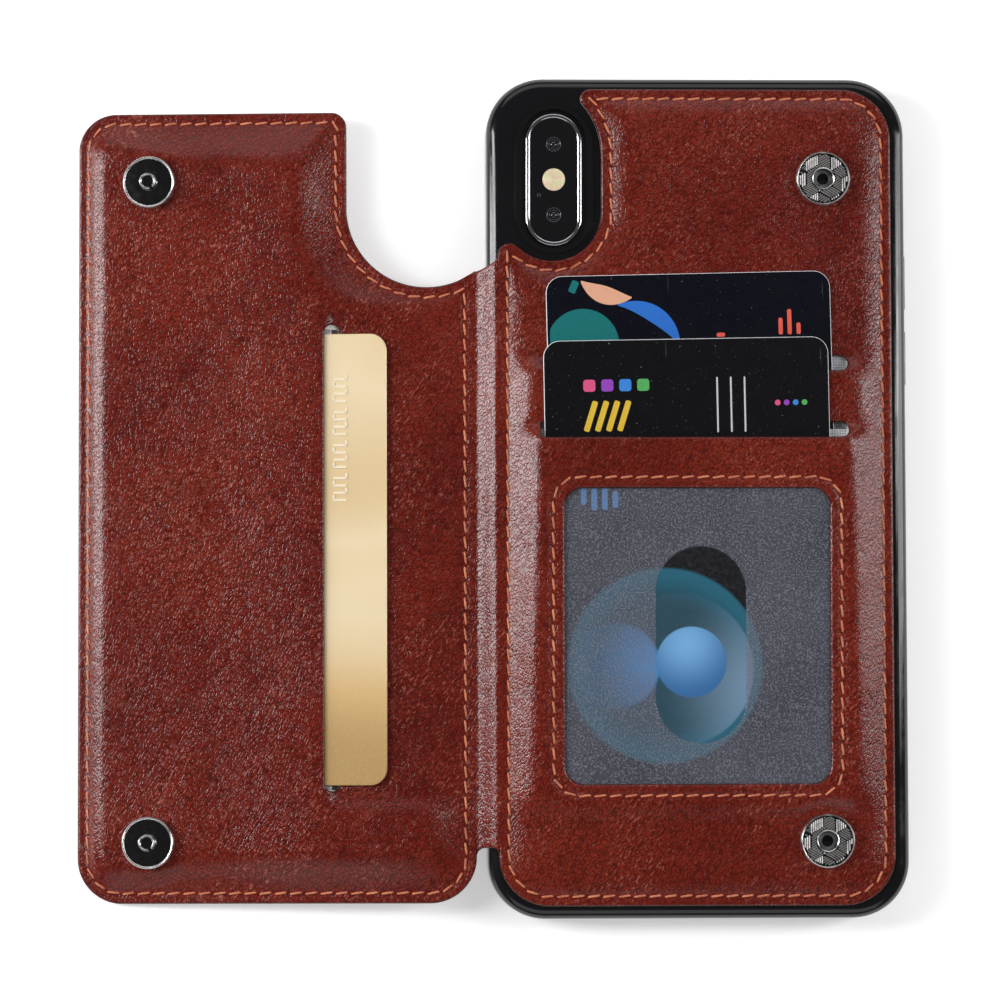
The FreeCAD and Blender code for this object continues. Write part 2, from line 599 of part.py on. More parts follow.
def main():
    parts = build()
    low = min(shape.BoundBox.XMin for shape in parts.values())
    high = max(shape.BoundBox.XMax for shape in parts.values())
    origin_shift = V(-(low + high) / 2.0, 0, 0)
    for name in sorted(parts):
        shape = parts[name]
        shape.translate(origin_shift)
        shape.exportStep("parts/%s.step" % name)
    print("origin shift x = %.4f, droop = %.4f degrees" % (origin_shift.x, flap_droop()))


main()
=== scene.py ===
import json
import math

import bmesh
import bpy
import numpy as np
from mathutils import Matrix, Vector, noise
from mathutils.geometry import delaunay_2d_cdt


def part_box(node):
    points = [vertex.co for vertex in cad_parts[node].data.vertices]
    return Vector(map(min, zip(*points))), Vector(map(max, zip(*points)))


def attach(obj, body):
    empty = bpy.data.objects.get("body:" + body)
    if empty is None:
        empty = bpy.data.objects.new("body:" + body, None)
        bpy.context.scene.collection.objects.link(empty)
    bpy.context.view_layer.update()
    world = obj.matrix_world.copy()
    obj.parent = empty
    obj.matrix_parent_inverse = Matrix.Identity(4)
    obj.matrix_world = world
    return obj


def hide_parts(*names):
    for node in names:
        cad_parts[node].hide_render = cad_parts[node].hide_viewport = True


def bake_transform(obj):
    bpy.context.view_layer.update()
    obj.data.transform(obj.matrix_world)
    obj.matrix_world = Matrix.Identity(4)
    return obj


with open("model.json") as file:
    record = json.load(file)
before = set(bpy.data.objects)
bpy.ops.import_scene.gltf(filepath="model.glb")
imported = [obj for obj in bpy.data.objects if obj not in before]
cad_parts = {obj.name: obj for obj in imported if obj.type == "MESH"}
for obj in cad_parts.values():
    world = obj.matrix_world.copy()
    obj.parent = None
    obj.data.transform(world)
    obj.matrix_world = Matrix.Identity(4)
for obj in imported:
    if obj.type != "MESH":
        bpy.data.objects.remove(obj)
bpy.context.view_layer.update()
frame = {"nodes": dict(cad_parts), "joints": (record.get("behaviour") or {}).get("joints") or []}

# Sizes are in mm and heights above the floor. Case parts are measured from the shell's
# centre, and flap parts lie flat at the hinge's level until FLAP_PLACE leans them down.
MM = 0.001
SHELL_LOW, SHELL_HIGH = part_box("shell")
CASE_X = (SHELL_LOW.x + SHELL_HIGH.x) / 2 / MM
JOINTS = {joint["name"]: joint for joint in frame["joints"]}
HINGE = Vector(JOINTS["spine_fold"]["pos_m"])
SPINE_HINGE = Vector(JOINTS["flap_fold"]["pos_m"])
DROOP = JOINTS["spine_fold"]["range_deg"][1] - 90.0
HINGE_X = HINGE.x / MM - CASE_X
SPINE_W = (HINGE - SPINE_HINGE).length / MM
WORLD = Matrix.Identity(4)
CASE_PLACE = Matrix.Translation((CASE_X * MM, 0, 0))
FLAP_PLACE = (Matrix.Translation(HINGE) @ Matrix.Rotation(-math.radians(DROOP), 4, "Y")
              @ Matrix.Translation((-HINGE_X * MM, 0, 0)))

# Leather panel
LEATHER = 0.7
FLANGE_TOP = 10.95
FILM_TOP = 1.41
CLEAR = 0.04
PANEL = (-37.9, -77.5, 37.1, 77.6)
PANEL_R = 9.6
NOTCH_LOW_C, NOTCH_LOW_R = (-27.4, 54.1), 9.3
NOTCH_UP_C, NOTCH_UP_R = (-32.6, 65.2), 14.5
TAB_R, TIP_R = 2.35, 1.8
STITCH_INSET = 1.9
FLAP_STITCH_INSET = 2.0
STITCH_PITCH, STITCH_LENGTH, STITCH_SLANT = 2.9, 2.4, 8
THREAD_HALF = (0.21, 0.165)
ZONE_TOP = 11.7
SLOT_X = (-30.5, 28.5)
SLOT_A_Y = (23.65, 26.5)
SLOT_B_Y = (10.9, 13.8)
WINDOW = (-25.4, -54.5, 24.7, 1.2)
WINDOW_R = 3.4
WINDOW_SEAM = (-27.6, -56.7, 26.9, 3.3)
WINDOW_SEAM_R = 5.0
RAMP_Y, RAMP_W = -59.4, 8.4

# Cards: turn about Z in degrees, rise along +Y
CARD_W, CARD_L, CARD_T, CARD_R = 53.98, 85.6, 0.8, 3.18
CARD_A = {"x": -0.9, "y": -43.45, "z": 10.45, "rise": 0.0186, "turn": 1.3}
CARD_B = {"x": -1.7, "y": -56.0, "z": 11.0, "rise": 0.0311, "turn": 1.0}

# Snaps
SNAP_Y = (60.2, -65.3)
SOCKET_X, SOCKET_R, SOCKET_PROUD = 24.0, 5.15, 1.9
STUD_X, STUD_R, STUD_PROUD = 2 * HINGE_X - SPINE_W - SOCKET_X, 4.95, 1.9
POST_R, POST_HOLE_R, POST_L = 1.6, 1.1, 1.6
BLOCK, BAR_PITCH, BAR_HALF = 2.6, 0.4, 0.12
BEZEL_W, LENS_R, DOME_R = 1.0, 1.4, 0.58

# Flap
FLAP_LEFT, FLAP_BOTTOM, FLAP_TOP = -118.2, -76.9, 73.8
FLAP_RIGHT = HINGE_X - SPINE_W
FLAP_R_TL, FLAP_R_BL, FLAP_R_BR, FLAP_R_EAR = 7.2, 8.6, 8.8, 3.0
FLAP_NOTCH_C, FLAP_NOTCH_R = (-51.5, 55.5), 15.4
FLAP_UNDER, FLAP_MID, FLAP_EDGE = -4.05, -3.3, -2.55
FLAP_STUD_TOP, FLAP_SLOT_TOP, LEDGE_TOP = -0.35, 0.3, -1.35
FLAP_SLOT = (-70.9, -55.7, -68.1, 32.8)
FLAP_CARD = (-113.0, -54.6)
FLAP_CARD_Z, FLAP_CARD_RISE, FLAP_CARD_REF = -1.3, 0.0235, -70.4
SPINE_BOTTOM, SPINE_TOP_PANEL, SPINE_TOP_FLAP = -66.5, 44.9, 42.9
SPINE_FILLET = 1.3

# Leather sheets are meshed with rings beside their edges and a staggered grid inside.
EDGE_RINGS = (0.13, 0.3, 0.55, 0.95, 1.4, 1.9, 2.4, 3.0)
EDGE_ROUND = 0.42
GRID = 1.15
TINY = 1e-12
SPACING = 0.8


# ---------- places ----------

def shifted(place, x, y, z):
    """A place moved by mm along its own axes."""
    return place @ Matrix.Translation((x * MM, y * MM, z * MM))


def box_mm(node):
    """A CAD node's box, in mm."""
    return [Vector(corner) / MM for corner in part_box(node)]


# ---------- outlines ----------

def arc(centre, radius, start, end):
    """Points of an arc, in degrees, without its last point."""
    steps = max(2, int(abs(math.radians(end - start)) * radius / 0.7) + 1)
    points = []
    for i in range(steps):
        angle = math.radians(start + (end - start) * i / steps)
        points.append((centre[0] + radius * math.cos(angle), centre[1] + radius * math.sin(angle)))
    return points


def rounded(box, radii):
    """Anticlockwise rounded rectangle from its bottom left corner."""
    x0, y0, x1, y1 = box
    if not isinstance(radii, tuple):
        radii = (radii,) * 4
    corners = ((x0, y0, 1, 1), (x1, y0, -1, 1), (x1, y1, -1, -1), (x0, y1, 1, -1))
    points = []
    for i, (x, y, sx, sy) in enumerate(corners):
        r = radii[i]
        start = 180 + 90 * i
        points += arc((x + sx * r, y + sy * r), r, start, start + 90)
        points.append((x + sx * r + r * math.cos(math.radians(start + 90)),
                       y + sy * r + r * math.sin(math.radians(start + 90))))
    return points


def circle(centre, radius):
    return arc(centre, radius, 0, 360)


def panel_outline():
    x0, y0, x1, y1 = PANEL
    tab_c = (x0 + TAB_R, NOTCH_LOW_C[1] - math.sqrt(
        (NOTCH_LOW_R + TAB_R) ** 2 - (NOTCH_LOW_C[0] - x0 - TAB_R) ** 2))
    tab = math.degrees(math.atan2(NOTCH_LOW_C[1] - tab_c[1], NOTCH_LOW_C[0] - tab_c[0]))
    tip_y = y1 - TIP_R
    tip_c = (NOTCH_UP_C[0] + math.sqrt(
        (NOTCH_UP_R + TIP_R) ** 2 - (tip_y - NOTCH_UP_C[1]) ** 2), tip_y)
    tip = math.degrees(math.atan2(tip_y - NOTCH_UP_C[1], tip_c[0] - NOTCH_UP_C[0]))
    r = PANEL_R
    points = arc((x0 + r, y0 + r), r, 180, 270) + arc((x1 - r, y0 + r), r, 270, 360)
    points += arc((x1 - r, y1 - r), r, 0, 90)
    points += arc(tip_c, TIP_R, 90, 180 + tip)
    points += arc(NOTCH_UP_C, NOTCH_UP_R, tip, 0)
    points += arc(NOTCH_LOW_C, NOTCH_LOW_R, 0, tab - 180)
    points += arc(tab_c, TAB_R, tab, 180)
    points.append((x0, tab_c[1]))
    return resample(points, SPACING)


def flap_outline():
    cx, cy = FLAP_NOTCH_C
    ear_x = cx - FLAP_NOTCH_R
    end = -math.degrees(math.acos((FLAP_RIGHT - cx) / FLAP_NOTCH_R))
    points = arc((FLAP_LEFT + FLAP_R_BL, FLAP_BOTTOM + FLAP_R_BL), FLAP_R_BL, 180, 270)
    points += arc((FLAP_RIGHT - FLAP_R_BR, FLAP_BOTTOM + FLAP_R_BR), FLAP_R_BR, 270, 360)
    points += arc((cx, cy), FLAP_NOTCH_R, end, -180)
    points += arc((ear_x - FLAP_R_EAR, FLAP_TOP - FLAP_R_EAR), FLAP_R_EAR, 0, 90)
    points += arc((FLAP_LEFT + FLAP_R_TL, FLAP_TOP - FLAP_R_TL), FLAP_R_TL, 90, 180)
    return resample(points, SPACING)


def resample(points, spacing):
    """Closed loop with points at an even spacing that keeps its corners' curves."""
    loop = np.array(points + points[:1], float)
    out = []
    for a, b in zip(loop[:-1], loop[1:]):
        length = np.hypot(*(b - a))
        if length < 1e-6:
            continue
        steps = max(1, int(round(length / spacing)))
        out += [a + (b - a) * i / steps for i in range(steps)]
    return np.array(out)


def inward(loop):
    """Unit normals of an anticlockwise loop that point into it."""
    loop = np.asarray(loop, float)
    ahead, behind = np.roll(loop, -1, 0) - loop, loop - np.roll(loop, 1, 0)
    tangent = ahead / (np.hypot(*ahead.T)[:, None] + TINY) + behind / (np.hypot(*behind.T)[:, None] + TINY)
    normal = np.stack([-tangent[:, 1], tangent[:, 0]], 1)
    return normal / (np.hypot(*normal.T)[:, None] + TINY)


def inset(loop, distance):
    """Loop moved inwards, with points that came too near its other side dropped."""
    moved = loop + inward(loop) * distance
    return moved[loop_distance(moved, loop) > abs(distance) - 0.06]


def loop_distance(points, loop):
    """Distance of each point to a closed loop."""
    a, b = loop, np.roll(loop, -1, 0)
    d = b - a
    length2 = (d ** 2).sum(1) + TINY
    out = np.empty(len(points))
    for i in range(0, len(points), 1500):
        p = points[i:i + 1500, None]
        t = np.clip(((p - a) * d).sum(2) / length2, 0, 1)
        out[i:i + 1500] = np.sqrt((((a + d * t[..., None]) - p) ** 2).sum(2).min(1))
    return out


def margin(points, loop):
    """Distance to a closed loop that turns smoothly round its corners."""
    exact = loop_distance(points, loop)
    ahead = np.roll(loop, -1, 0)
    middle = (loop + ahead) / 2
    share = np.hypot(*(ahead - loop).T) * 0.75
    soft = np.empty(len(points))
    for i in range(0, len(points), 1500):
        square = ((points[i:i + 1500, None] - middle) ** 2).sum(2) + 0.01
        soft[i:i + 1500] = (share * square ** -2.5).sum(1) ** -0.25
    return exact + (np.minimum(soft, exact) - exact) * smooth((exact - 1.0) / 1.5)


def edge_drop(distance):
    """How far a rounded edge lies below its face at a distance from the edge."""
    return EDGE_ROUND - np.sqrt(EDGE_ROUND ** 2 - np.clip(EDGE_ROUND - distance, 0, EDGE_ROUND) ** 2)


def bell(values, centre, width):
    return np.exp(-((values - centre) / width) ** 2)


def inside(points, loop):
    """Even-odd test of points against a closed loop."""
    x, y = points[:, 0], points[:, 1]
    result = np.zeros(len(points), bool)
    for a, b in zip(loop, np.roll(loop, -1, 0)):
        crosses = (a[1] > y) != (b[1] > y)
        with np.errstate(divide="ignore", invalid="ignore"):
            at = (b[0] - a[0]) * (y - a[1]) / (b[1] - a[1]) + a[0]
        result ^= crosses & (x < at)
    return result


def smooth(t):
    t = np.clip(t, 0, 1)
    return t * t * (3 - 2 * t)


# ---------- meshes ----------

def new_object(name, verts, faces, materials, face_slots=None, smooth_angle=None, place=None):
    """Object of a mesh given in mm, placed by its matrix."""
    mesh = bpy.data.meshes.new(name)
    mesh.from_pydata((np.asarray(verts, float) * MM).tolist(), [], [tuple(f) for f in faces])
    for m in materials:
        mesh.materials.append(m)
    if face_slots is not None:
        mesh.polygons.foreach_set("material_index", face_slots)
    mesh.polygons.foreach_set("use_smooth", [True] * len(mesh.polygons))
    if smooth_angle:
        mesh.set_sharp_from_angle(angle=math.radians(smooth_angle))
    mesh.update()
    obj = bpy.data.objects.new(name, mesh)
    bpy.context.scene.collection.objects.link(obj)
    if place is not None:
        obj.matrix_world = place
    return obj


def sheet_plan(outline, holes):
    """Points and triangles of a flat sheet with holes, and each point's distance to its edge."""
    loops = [outline] + [np.array(h)[::-1] for h in holes]
    rings = np.concatenate([inset(loop, distance) for distance in EDGE_RINGS for loop in loops])
    low, high = outline.min(0), outline.max(0)
    rows = []
    for j, y in enumerate(np.arange(low[1], high[1], GRID * 0.87)):
        xs = np.arange(low[0] + (j % 2) * GRID / 2, high[0], GRID)
        rows.append(np.stack([xs, np.full(len(xs), y)], 1))
    grid = np.concatenate(rows)
    near = np.min([loop_distance(grid, loop) for loop in loops], 0)
    grid = grid[near > EDGE_RINGS[-1] + GRID * 0.5]
    near = np.min([loop_distance(rings, loop) for loop in loops], 0)
    rings = rings[near > EDGE_RINGS[0] - 0.04]
    cloud = np.concatenate(loops + [rings, grid])
    edges, start = [], 0
    for loop in loops:
        n = len(loop)
        edges += [(start + i, start + (i + 1) % n) for i in range(n)]
        start += n
    made = delaunay_2d_cdt([Vector(p) for p in cloud], edges, [], 0, 1e-4)
    verts, faces = (np.array([tuple(item) for item in items]) for items in (made[0], made[2]))
    centres = verts[faces].mean(1)
    keep = inside(centres, outline)
    for hole in holes:
        keep &= ~inside(centres, np.array(hole))
    faces = faces[keep]
    distance = np.min([loop_distance(verts, loop) for loop in loops], 0)
    return verts, faces, distance


def thick_sheet(name, outline, holes, top, bottom, materials, place, round_top=True, soft_edge=None):
    """Closed sheet between top(points, distance to the outline) and bottom(points, distance, top's z)."""
    verts, faces, distance = sheet_plan(outline, holes)
    from_outline = margin(verts, outline)
    rounding = edge_drop(distance)
    if soft_edge is not None:
        rounding = rounding * soft_edge(verts)
    z_top = top(verts, from_outline)
    z_bottom = bottom(verts, from_outline, z_top)
    if round_top:
        z_top = z_top - rounding
    else:
        z_bottom = z_bottom + rounding
    n = len(verts)
    points = np.concatenate([np.c_[verts, z_top], np.c_[verts, z_bottom]])
    tops = [tuple(int(i) for i in f) for f in faces]
    sides = {(f[i], f[(i + 1) % 3]): True for f in tops for i in range(3)}
    walls = [(a, a + n, b + n, b) for a, b in sides if (b, a) not in sides]
    bottoms = [(f[0] + n, f[2] + n, f[1] + n) for f in tops]
    obj = new_object(name, points, tops + bottoms + walls, materials, None, 50, place)
    joined = 9 * (1 - soft_edge(verts)) if soft_edge is not None else 0
    add_float(obj, "edge", np.concatenate([distance + joined, joined + np.zeros(n)]))
    return drop_loose(obj)


def add_float(obj, name, values):
    attribute = obj.data.attributes.new(name, "FLOAT", "POINT")
    attribute.data.foreach_set("value", np.asarray(values, np.float32))


def drop_loose(obj):
    bm = bmesh.new()
    bm.from_mesh(obj.data)
    bmesh.ops.delete(bm, geom=[v for v in bm.verts if not v.link_faces], context="VERTS")
    bm.to_mesh(obj.data)
    bm.free()
    return obj


def lathe(name, profile, materials, slots, place, turns=96):
    """Closed ring swept round Z from (radius, height) points."""
    angles = np.arange(turns) * 2 * math.pi / turns
    verts = [(r * math.cos(a), r * math.sin(a), z) for a in angles for r, z in profile]
    return new_object(name, verts, ring_faces(turns, len(profile)), materials, slots * turns, 40, place)


def ring_faces(sections, count, closed=True, base=0):
    """Faces between neighbouring sections of count points; closed joins the last section to the first."""
    faces = []
    for i in range(sections if closed else sections - 1):
        a, b = base + i * count, base + (i + 1) % sections * count
        faces += [(a + j, b + j, b + (j + 1) % count, a + (j + 1) % count) for j in range(count)]
    if not closed:
        last = base + (sections - 1) * count
        faces += [tuple(range(base, base + count)), tuple(reversed(range(last, last + count)))]
    return faces


def swept_ring(name, path, profile, material, place):
    """Closed ring that follows a closed path, with a section of (outwards, up) points."""
    out = -inward(path)
    verts = [(p[0] + o[0] * u, p[1] + o[1] * u, w) for p, o in zip(path, out) for u, w in profile]
    return new_object(name, verts, ring_faces(len(path), len(profile)), [material], None, 50, place)


def stadium_path(x, y, width, length):
    r = width / 2
    points = arc((x, y + length / 2 - r), r, 0, 180) + arc((x, y - length / 2 + r), r, 180, 360)
    return resample(points, 0.4)


def dress(mesh, material, smooth_angle):
    """One material on a mesh, shaded smooth between its sharp edges."""
    mesh.materials.clear()
    mesh.materials.append(material)
    mesh.polygons.foreach_set("material_index", [0] * len(mesh.polygons))
    mesh.polygons.foreach_set("use_smooth", [True] * len(mesh.polygons))
    mesh.set_sharp_from_angle(angle=math.radians(smooth_angle))


def softened(node, width, material):
    """Copy of a CAD node with its sharp edges rounded, shown in its place."""
    mesh = frame["nodes"][node].data.copy()
    bm = bmesh.new()
    bm.from_mesh(mesh)
    bmesh.ops.remove_doubles(bm, verts=bm.verts, dist=0.000002)
    bmesh.ops.dissolve_limit(bm, angle_limit=math.radians(0.6), verts=bm.verts, edges=bm.edges)
    bm.to_mesh(mesh)
    bm.free()
    obj = bpy.data.objects.new(node + "_rounded", mesh)
    bpy.context.scene.collection.objects.link(obj)
    bevel = obj.modifiers.new("bevel", "BEVEL")
    bevel.width, bevel.segments = width * MM, 3
    bevel.limit_method, bevel.angle_limit = "ANGLE", math.radians(40)
    bevel.use_clamp_overlap = True
    graph = bpy.context.evaluated_depsgraph_get()
    mesh = bpy.data.meshes.new_from_object(obj.evaluated_get(graph))
    obj.modifiers.clear()
    obj.data = mesh
    dress(mesh, material, 35)
    return obj


def finish_piece(obj, body, slot, *nodes):
    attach(obj, body)
    if nodes:
        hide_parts(*nodes)


# ---------- materials ----------

class Shader:
    """A node material with a Principled shader and short ways to add nodes."""

    def __init__(self, name, colour, roughness, **sockets):
        self.material = bpy.data.materials.new(name)
        self.material.use_nodes = True
        self.tree = self.material.node_tree
        self.bsdf = self.tree.nodes["Principled BSDF"]
        self.bsdf.inputs["Base Color"].default_value = (*colour, 1)
        self.bsdf.inputs["Roughness"].default_value = roughness
        for key, value in sockets.items():
            self.bsdf.inputs[key.replace("_", " ")].default_value = value
        self.position = self.node("TexCoord").outputs["Object"]

    def node(self, kind, inputs=(), **props):
        """A new node, with its properties set first and then its inputs, by name or number."""
        made = self.tree.nodes.new("ShaderNode" + kind)
        for key, value in props.items():
            setattr(made, key, value)
        for key, value in dict(inputs).items():
            if isinstance(value, bpy.types.NodeSocket):
                self.tree.links.new(value, made.inputs[key])
            else:
                made.inputs[key].default_value = value
        return made

    def math(self, operation, *values):
        return self.node("Math", enumerate(values), operation=operation).outputs[0]

    def vector(self, operation, *values):
        return self.node("VectorMath", enumerate(values), operation=operation).outputs[0]

    def mapping(self, vector, angle, scale):
        values = {"Vector": vector, "Rotation": (0, 0, angle), "Scale": scale}
        return self.node("Mapping", values).outputs[0]

    def scaled(self, scale, angle=0.0):
        return self.mapping(self.position, angle, scale)

    def directed(self, angle, stretch):
        """Position turned by degrees about Z and drawn out along the turned Y."""
        return self.mapping(self.scaled((1, 1, 1), math.radians(-angle)), 0.0, (1, 1 / stretch, 1))

    def noise(self, scale, detail=3.0, roughness=0.5, distortion=0.0, at=None):
        values = {"Vector": self.position if at is None else at, "Scale": scale, "Detail": detail,
                  "Roughness": roughness, "Distortion": distortion}
        return self.node("TexNoise", values).outputs["Fac"]

    def voronoi(self, scale, at=None):
        values = {"Vector": self.position if at is None else at, "Scale": scale}
        return self.node("TexVoronoi", values, feature="DISTANCE_TO_EDGE").outputs["Distance"]

    def wave(self, direction, scale, distortion):
        values = {"Vector": self.position, "Scale": scale, "Distortion": distortion}
        made = self.node("TexWave", values, wave_type="BANDS", bands_direction=direction)
        return made.outputs["Fac"]

    def warped(self, vector, scale, amount):
        """Vector pushed about by noise, so that cells and lines aren't regular."""
        made = self.node("TexNoise", {"Vector": vector, "Scale": scale, "Detail": 2.0})
        return self.vector("MULTIPLY_ADD", made.outputs["Color"], (amount,) * 3, vector)

    def ramp(self, factor, stops):
        made = self.node("ValToRGB", {"Fac": factor})
        elements = made.color_ramp.elements
        while len(elements) < len(stops):
            elements.new(0.5)
        for element, (position, colour) in zip(elements, stops):
            element.position, element.color = position, (*colour, 1)
        return made.outputs["Color"]

    def map(self, value, low, high, to_low, to_high):
        values = enumerate((value, low, high, to_low, to_high))
        return self.node("MapRange", values, interpolation_type="SMOOTHSTEP").outputs[0]

    def mix(self, factor, a, b):
        """Colour a where the factor is 0 and b where it is 1; each is a socket or three numbers."""
        a, b = (c if isinstance(c, bpy.types.NodeSocket) else (*c, 1) for c in (a, b))
        return self.node("Mix", {"Factor": factor, 6: a, 7: b}, data_type="RGBA").outputs[2]

    def bump(self, height, distance, strength, normal=None):
        values = {"Strength": strength, "Distance": distance * MM, "Height": height}
        if normal is not None:
            values["Normal"] = normal
        return self.node("Bump", values).outputs["Normal"]

    def attribute(self, name):
        return self.node("Attribute", attribute_name=name).outputs["Fac"]

    def finish(self, colour=None, roughness=None, normal=None, alpha=None):
        for key, value in (("Base Color", colour), ("Roughness", roughness), ("Normal", normal),
                           ("Alpha", alpha)):
            if value is not None:
                self.tree.links.new(value, self.bsdf.inputs[key])
        return self.material


def leather_material():
    """Reddish-brown leather with pebble grain, slanting creases, darker edges, painted shade in the grain's
    valleys and creases, and painted glints.
    """
    s = Shader("leather", (0.15, 0.0145, 0.007), 0.3, Specular_IOR_Level=0.4)
    grain = s.map(s.voronoi(1800, at=s.warped(s.directed(-34, 1.8), 900, 0.0007)), 0.0, 0.22, 0.0, 1.0)
    crease_place = s.warped(s.directed(-36, 3.2), 240, 0.0026)
    crease = s.map(s.voronoi(560, at=crease_place), 0.0, 0.1, 0.0, 1.0)
    crease = s.math("MAXIMUM", crease, s.map(s.noise(70, 2), 0.42, 0.6, 0.0, 1.0))
    patches = s.noise(42, 3, 0.55)
    mottle = s.noise(240, 4, 0.6)
    tone = s.ramp(patches, ((0.28, (0.112, 0.0068, 0.0036)), (0.5, (0.166, 0.0122, 0.006)),
                            (0.74, (0.222, 0.023, 0.0098))))
    tone = s.mix(s.map(mottle, 0.3, 0.75, 0.0, 0.5), tone, (0.215, 0.023, 0.01))
    # Painted shade: the colour darkens in the grain's valleys and along the creases.
    tone = s.mix(s.map(grain, 0.0, 0.8, 0.72, 0.0), tone, (0.045, 0.004, 0.0025))
    tone = s.mix(s.map(crease, 0.0, 1.0, 0.4, 0.0), tone, (0.05, 0.0045, 0.0025))
    tone = s.mix(s.map(s.attribute("edge"), 0.05, 0.5, 0.62, 0.0), tone, (0.035, 0.006, 0.006))
    # Painted highlight: sparse light specks along the grain stand in for the lamps' glints on the pebbles.
    glint_specks = s.map(s.noise(2200, 3, 0.75, at=s.directed(-34, 2.6)), 0.53, 0.7, 0.0, 0.85)
    painted_glints = s.map(s.noise(110, 3, 0.6, at=s.directed(-34, 3.0)), 0.4, 0.66, 0.12, 1.0)
    painted_glints = s.math("MULTIPLY", glint_specks, painted_glints)
    tone = s.mix(painted_glints, tone, (0.46, 0.14, 0.1))
    fine = s.noise(4200, 3, 0.6)
    normal = s.bump(patches, 0.6, 0.5)
    normal = s.bump(crease, 0.04, 0.5, normal)
    normal = s.bump(grain, 0.03, 0.75, normal)
    normal = s.bump(fine, 0.006, 0.5, normal)
    rough = s.map(mottle, 0.25, 0.8, 0.13, 0.22)
    return s.finish(tone, rough, normal)


def thread_material():
    s = Shader("thread", (0.66, 0.2, 0.1), 0.55, Sheen_Weight=0.25, Sheen_Roughness=0.4)
    strands = s.wave("DIAGONAL", 900, 1.5)
    tone = s.ramp(s.noise(320, 3), ((0.3, (0.5, 0.125, 0.05)), (0.7, (0.86, 0.29, 0.13))))
    # Painted shade: the colour darkens in the grooves between the twisted plies.
    tone = s.mix(s.map(strands, 0.1, 0.7, 0.4, 0.0), tone, (0.28, 0.05, 0.02))
    return s.finish(tone, None, s.bump(strands, 0.05, 0.7))


def needle_hole_material():
    # Painted shade: the near-black colour stands in for the shade inside the needle holes.
    s = Shader("needle_hole", (0.02, 0.004, 0.003), 0.75)
    return s.finish(s.mix(s.noise(1500), (0.012, 0.003, 0.002), (0.035, 0.006, 0.004)))


def shell_material():
    """Gloss black moulded plastic with faint moulding ripple and dust."""
    s = Shader("shell_black", (0.006, 0.006, 0.007), 0.1, Specular_IOR_Level=0.5)
    dust = s.noise(1400, 4, 0.7)
    tone = s.mix(s.map(dust, 0.6, 0.8, 0.0, 0.5), (0.0055, 0.0055, 0.0065), (0.022, 0.022, 0.024))
    rough = s.map(s.noise(160, 4, 0.6), 0.35, 0.75, 0.07, 0.2)
    return s.finish(tone, rough, s.bump(s.noise(90, 2), 0.04, 0.12))


def metal_material(name, colour, roughness, wear=0.5):
    s = Shader(name, colour, roughness, Metallic=1.0)
    marks = s.noise(1800, 4, 0.6)
    dark = tuple(c * wear for c in colour)
    tone = s.mix(s.map(marks, 0.45, 0.8, 0.0, 0.6), colour, dark)
    rough = s.map(s.noise(700, 3), 0.3, 0.75, roughness * 0.7, roughness * 1.6)
    return s.finish(tone, rough, s.bump(marks, 0.01, 0.15))


def lining_material():
    """Grey plain-woven lining."""
    s = Shader("lining", (0.5, 0.5, 0.52), 0.85, Sheen_Weight=0.3)
    weave = s.math("MAXIMUM", s.wave("X", 620, 0.4), s.wave("Y", 620, 0.4))
    tone = s.mix(s.map(weave, 0.2, 0.95, 0.0, 1.0), (0.34, 0.34, 0.38), (0.72, 0.72, 0.76))
    return s.finish(tone, None, s.bump(weave, 0.06, 0.8))


def print_material(name, colour, scuffs, roughness):
    """Laminated card print: one ink colour with fine scratches and dust."""
    s = Shader(name, colour, roughness, Specular_IOR_Level=0.35)
    lines = s.noise(2600, 2, 0.7, at=s.scaled((1.0, 0.03, 1.0)))
    dust = s.noise(2300, 2, 0.8)
    marks = s.math("MAXIMUM", s.map(lines, 0.71, 0.8, 0.0, 0.22 * scuffs),
                   s.map(dust, 0.7, 0.78, 0.0, 0.8 * scuffs))
    tone = s.mix(marks, colour, (0.45, 0.45, 0.47))
    rough = s.map(s.noise(380, 4, 0.6), 0.2, 0.9, roughness * 0.85, roughness * 1.15)
    return s.finish(tone, rough, s.bump(lines, 0.004, 0.15))


def gold_material():
    """Brushed gold print with soft dark and light bands along the card; the bands are painted reflection of
    the lamps in the shiny gold.
    """
    s = Shader("card_gold", (0.75, 0.52, 0.24), 0.3, Metallic=0.18)
    # Painted reflection: the dark and light bands stand in for the lamps' reflections on the gold.
    bands = s.noise(22, 0.6, 0.4, 0.3, at=s.scaled((0.45, 1.0, 1.0), 0.3))
    tone = s.ramp(bands, ((0.3, (0.5, 0.31, 0.11)), (0.44, (0.82, 0.56, 0.25)),
                          (0.56, (1.0, 0.82, 0.52)), (0.7, (0.78, 0.52, 0.22))))
    speck = s.noise(4200, 2, 0.7)
    tone = s.mix(s.map(speck, 0.55, 0.75, 0.0, 0.35), tone, (1.0, 0.9, 0.66))
    brushed = s.noise(3000, 2, 0.6, at=s.scaled((1.0, 0.04, 1.0)))
    rough = s.map(brushed, 0.3, 0.7, 0.31, 0.35)
    return s.finish(tone, rough, s.bump(brushed, 0.002, 0.1))


def foam_material():
    s = Shader("foam", (0.75, 0.74, 0.7), 0.9)
    cells = s.voronoi(2500)
    tone = s.mix(s.map(cells, 0, 0.3, 0.5, 0), (0.78, 0.77, 0.72), (0.5, 0.48, 0.44))
    return s.finish(tone, None, s.bump(cells, 0.08, 0.6))


def board_material():
    s = Shader("board", (0.42, 0.36, 0.28), 0.85)
    fibre = s.noise(900, 4, 0.7, at=s.scaled((1, 6, 1)))
    return s.finish(s.mix(fibre, (0.34, 0.29, 0.22), (0.5, 0.44, 0.35)), None, s.bump(fibre, 0.04, 0.5))


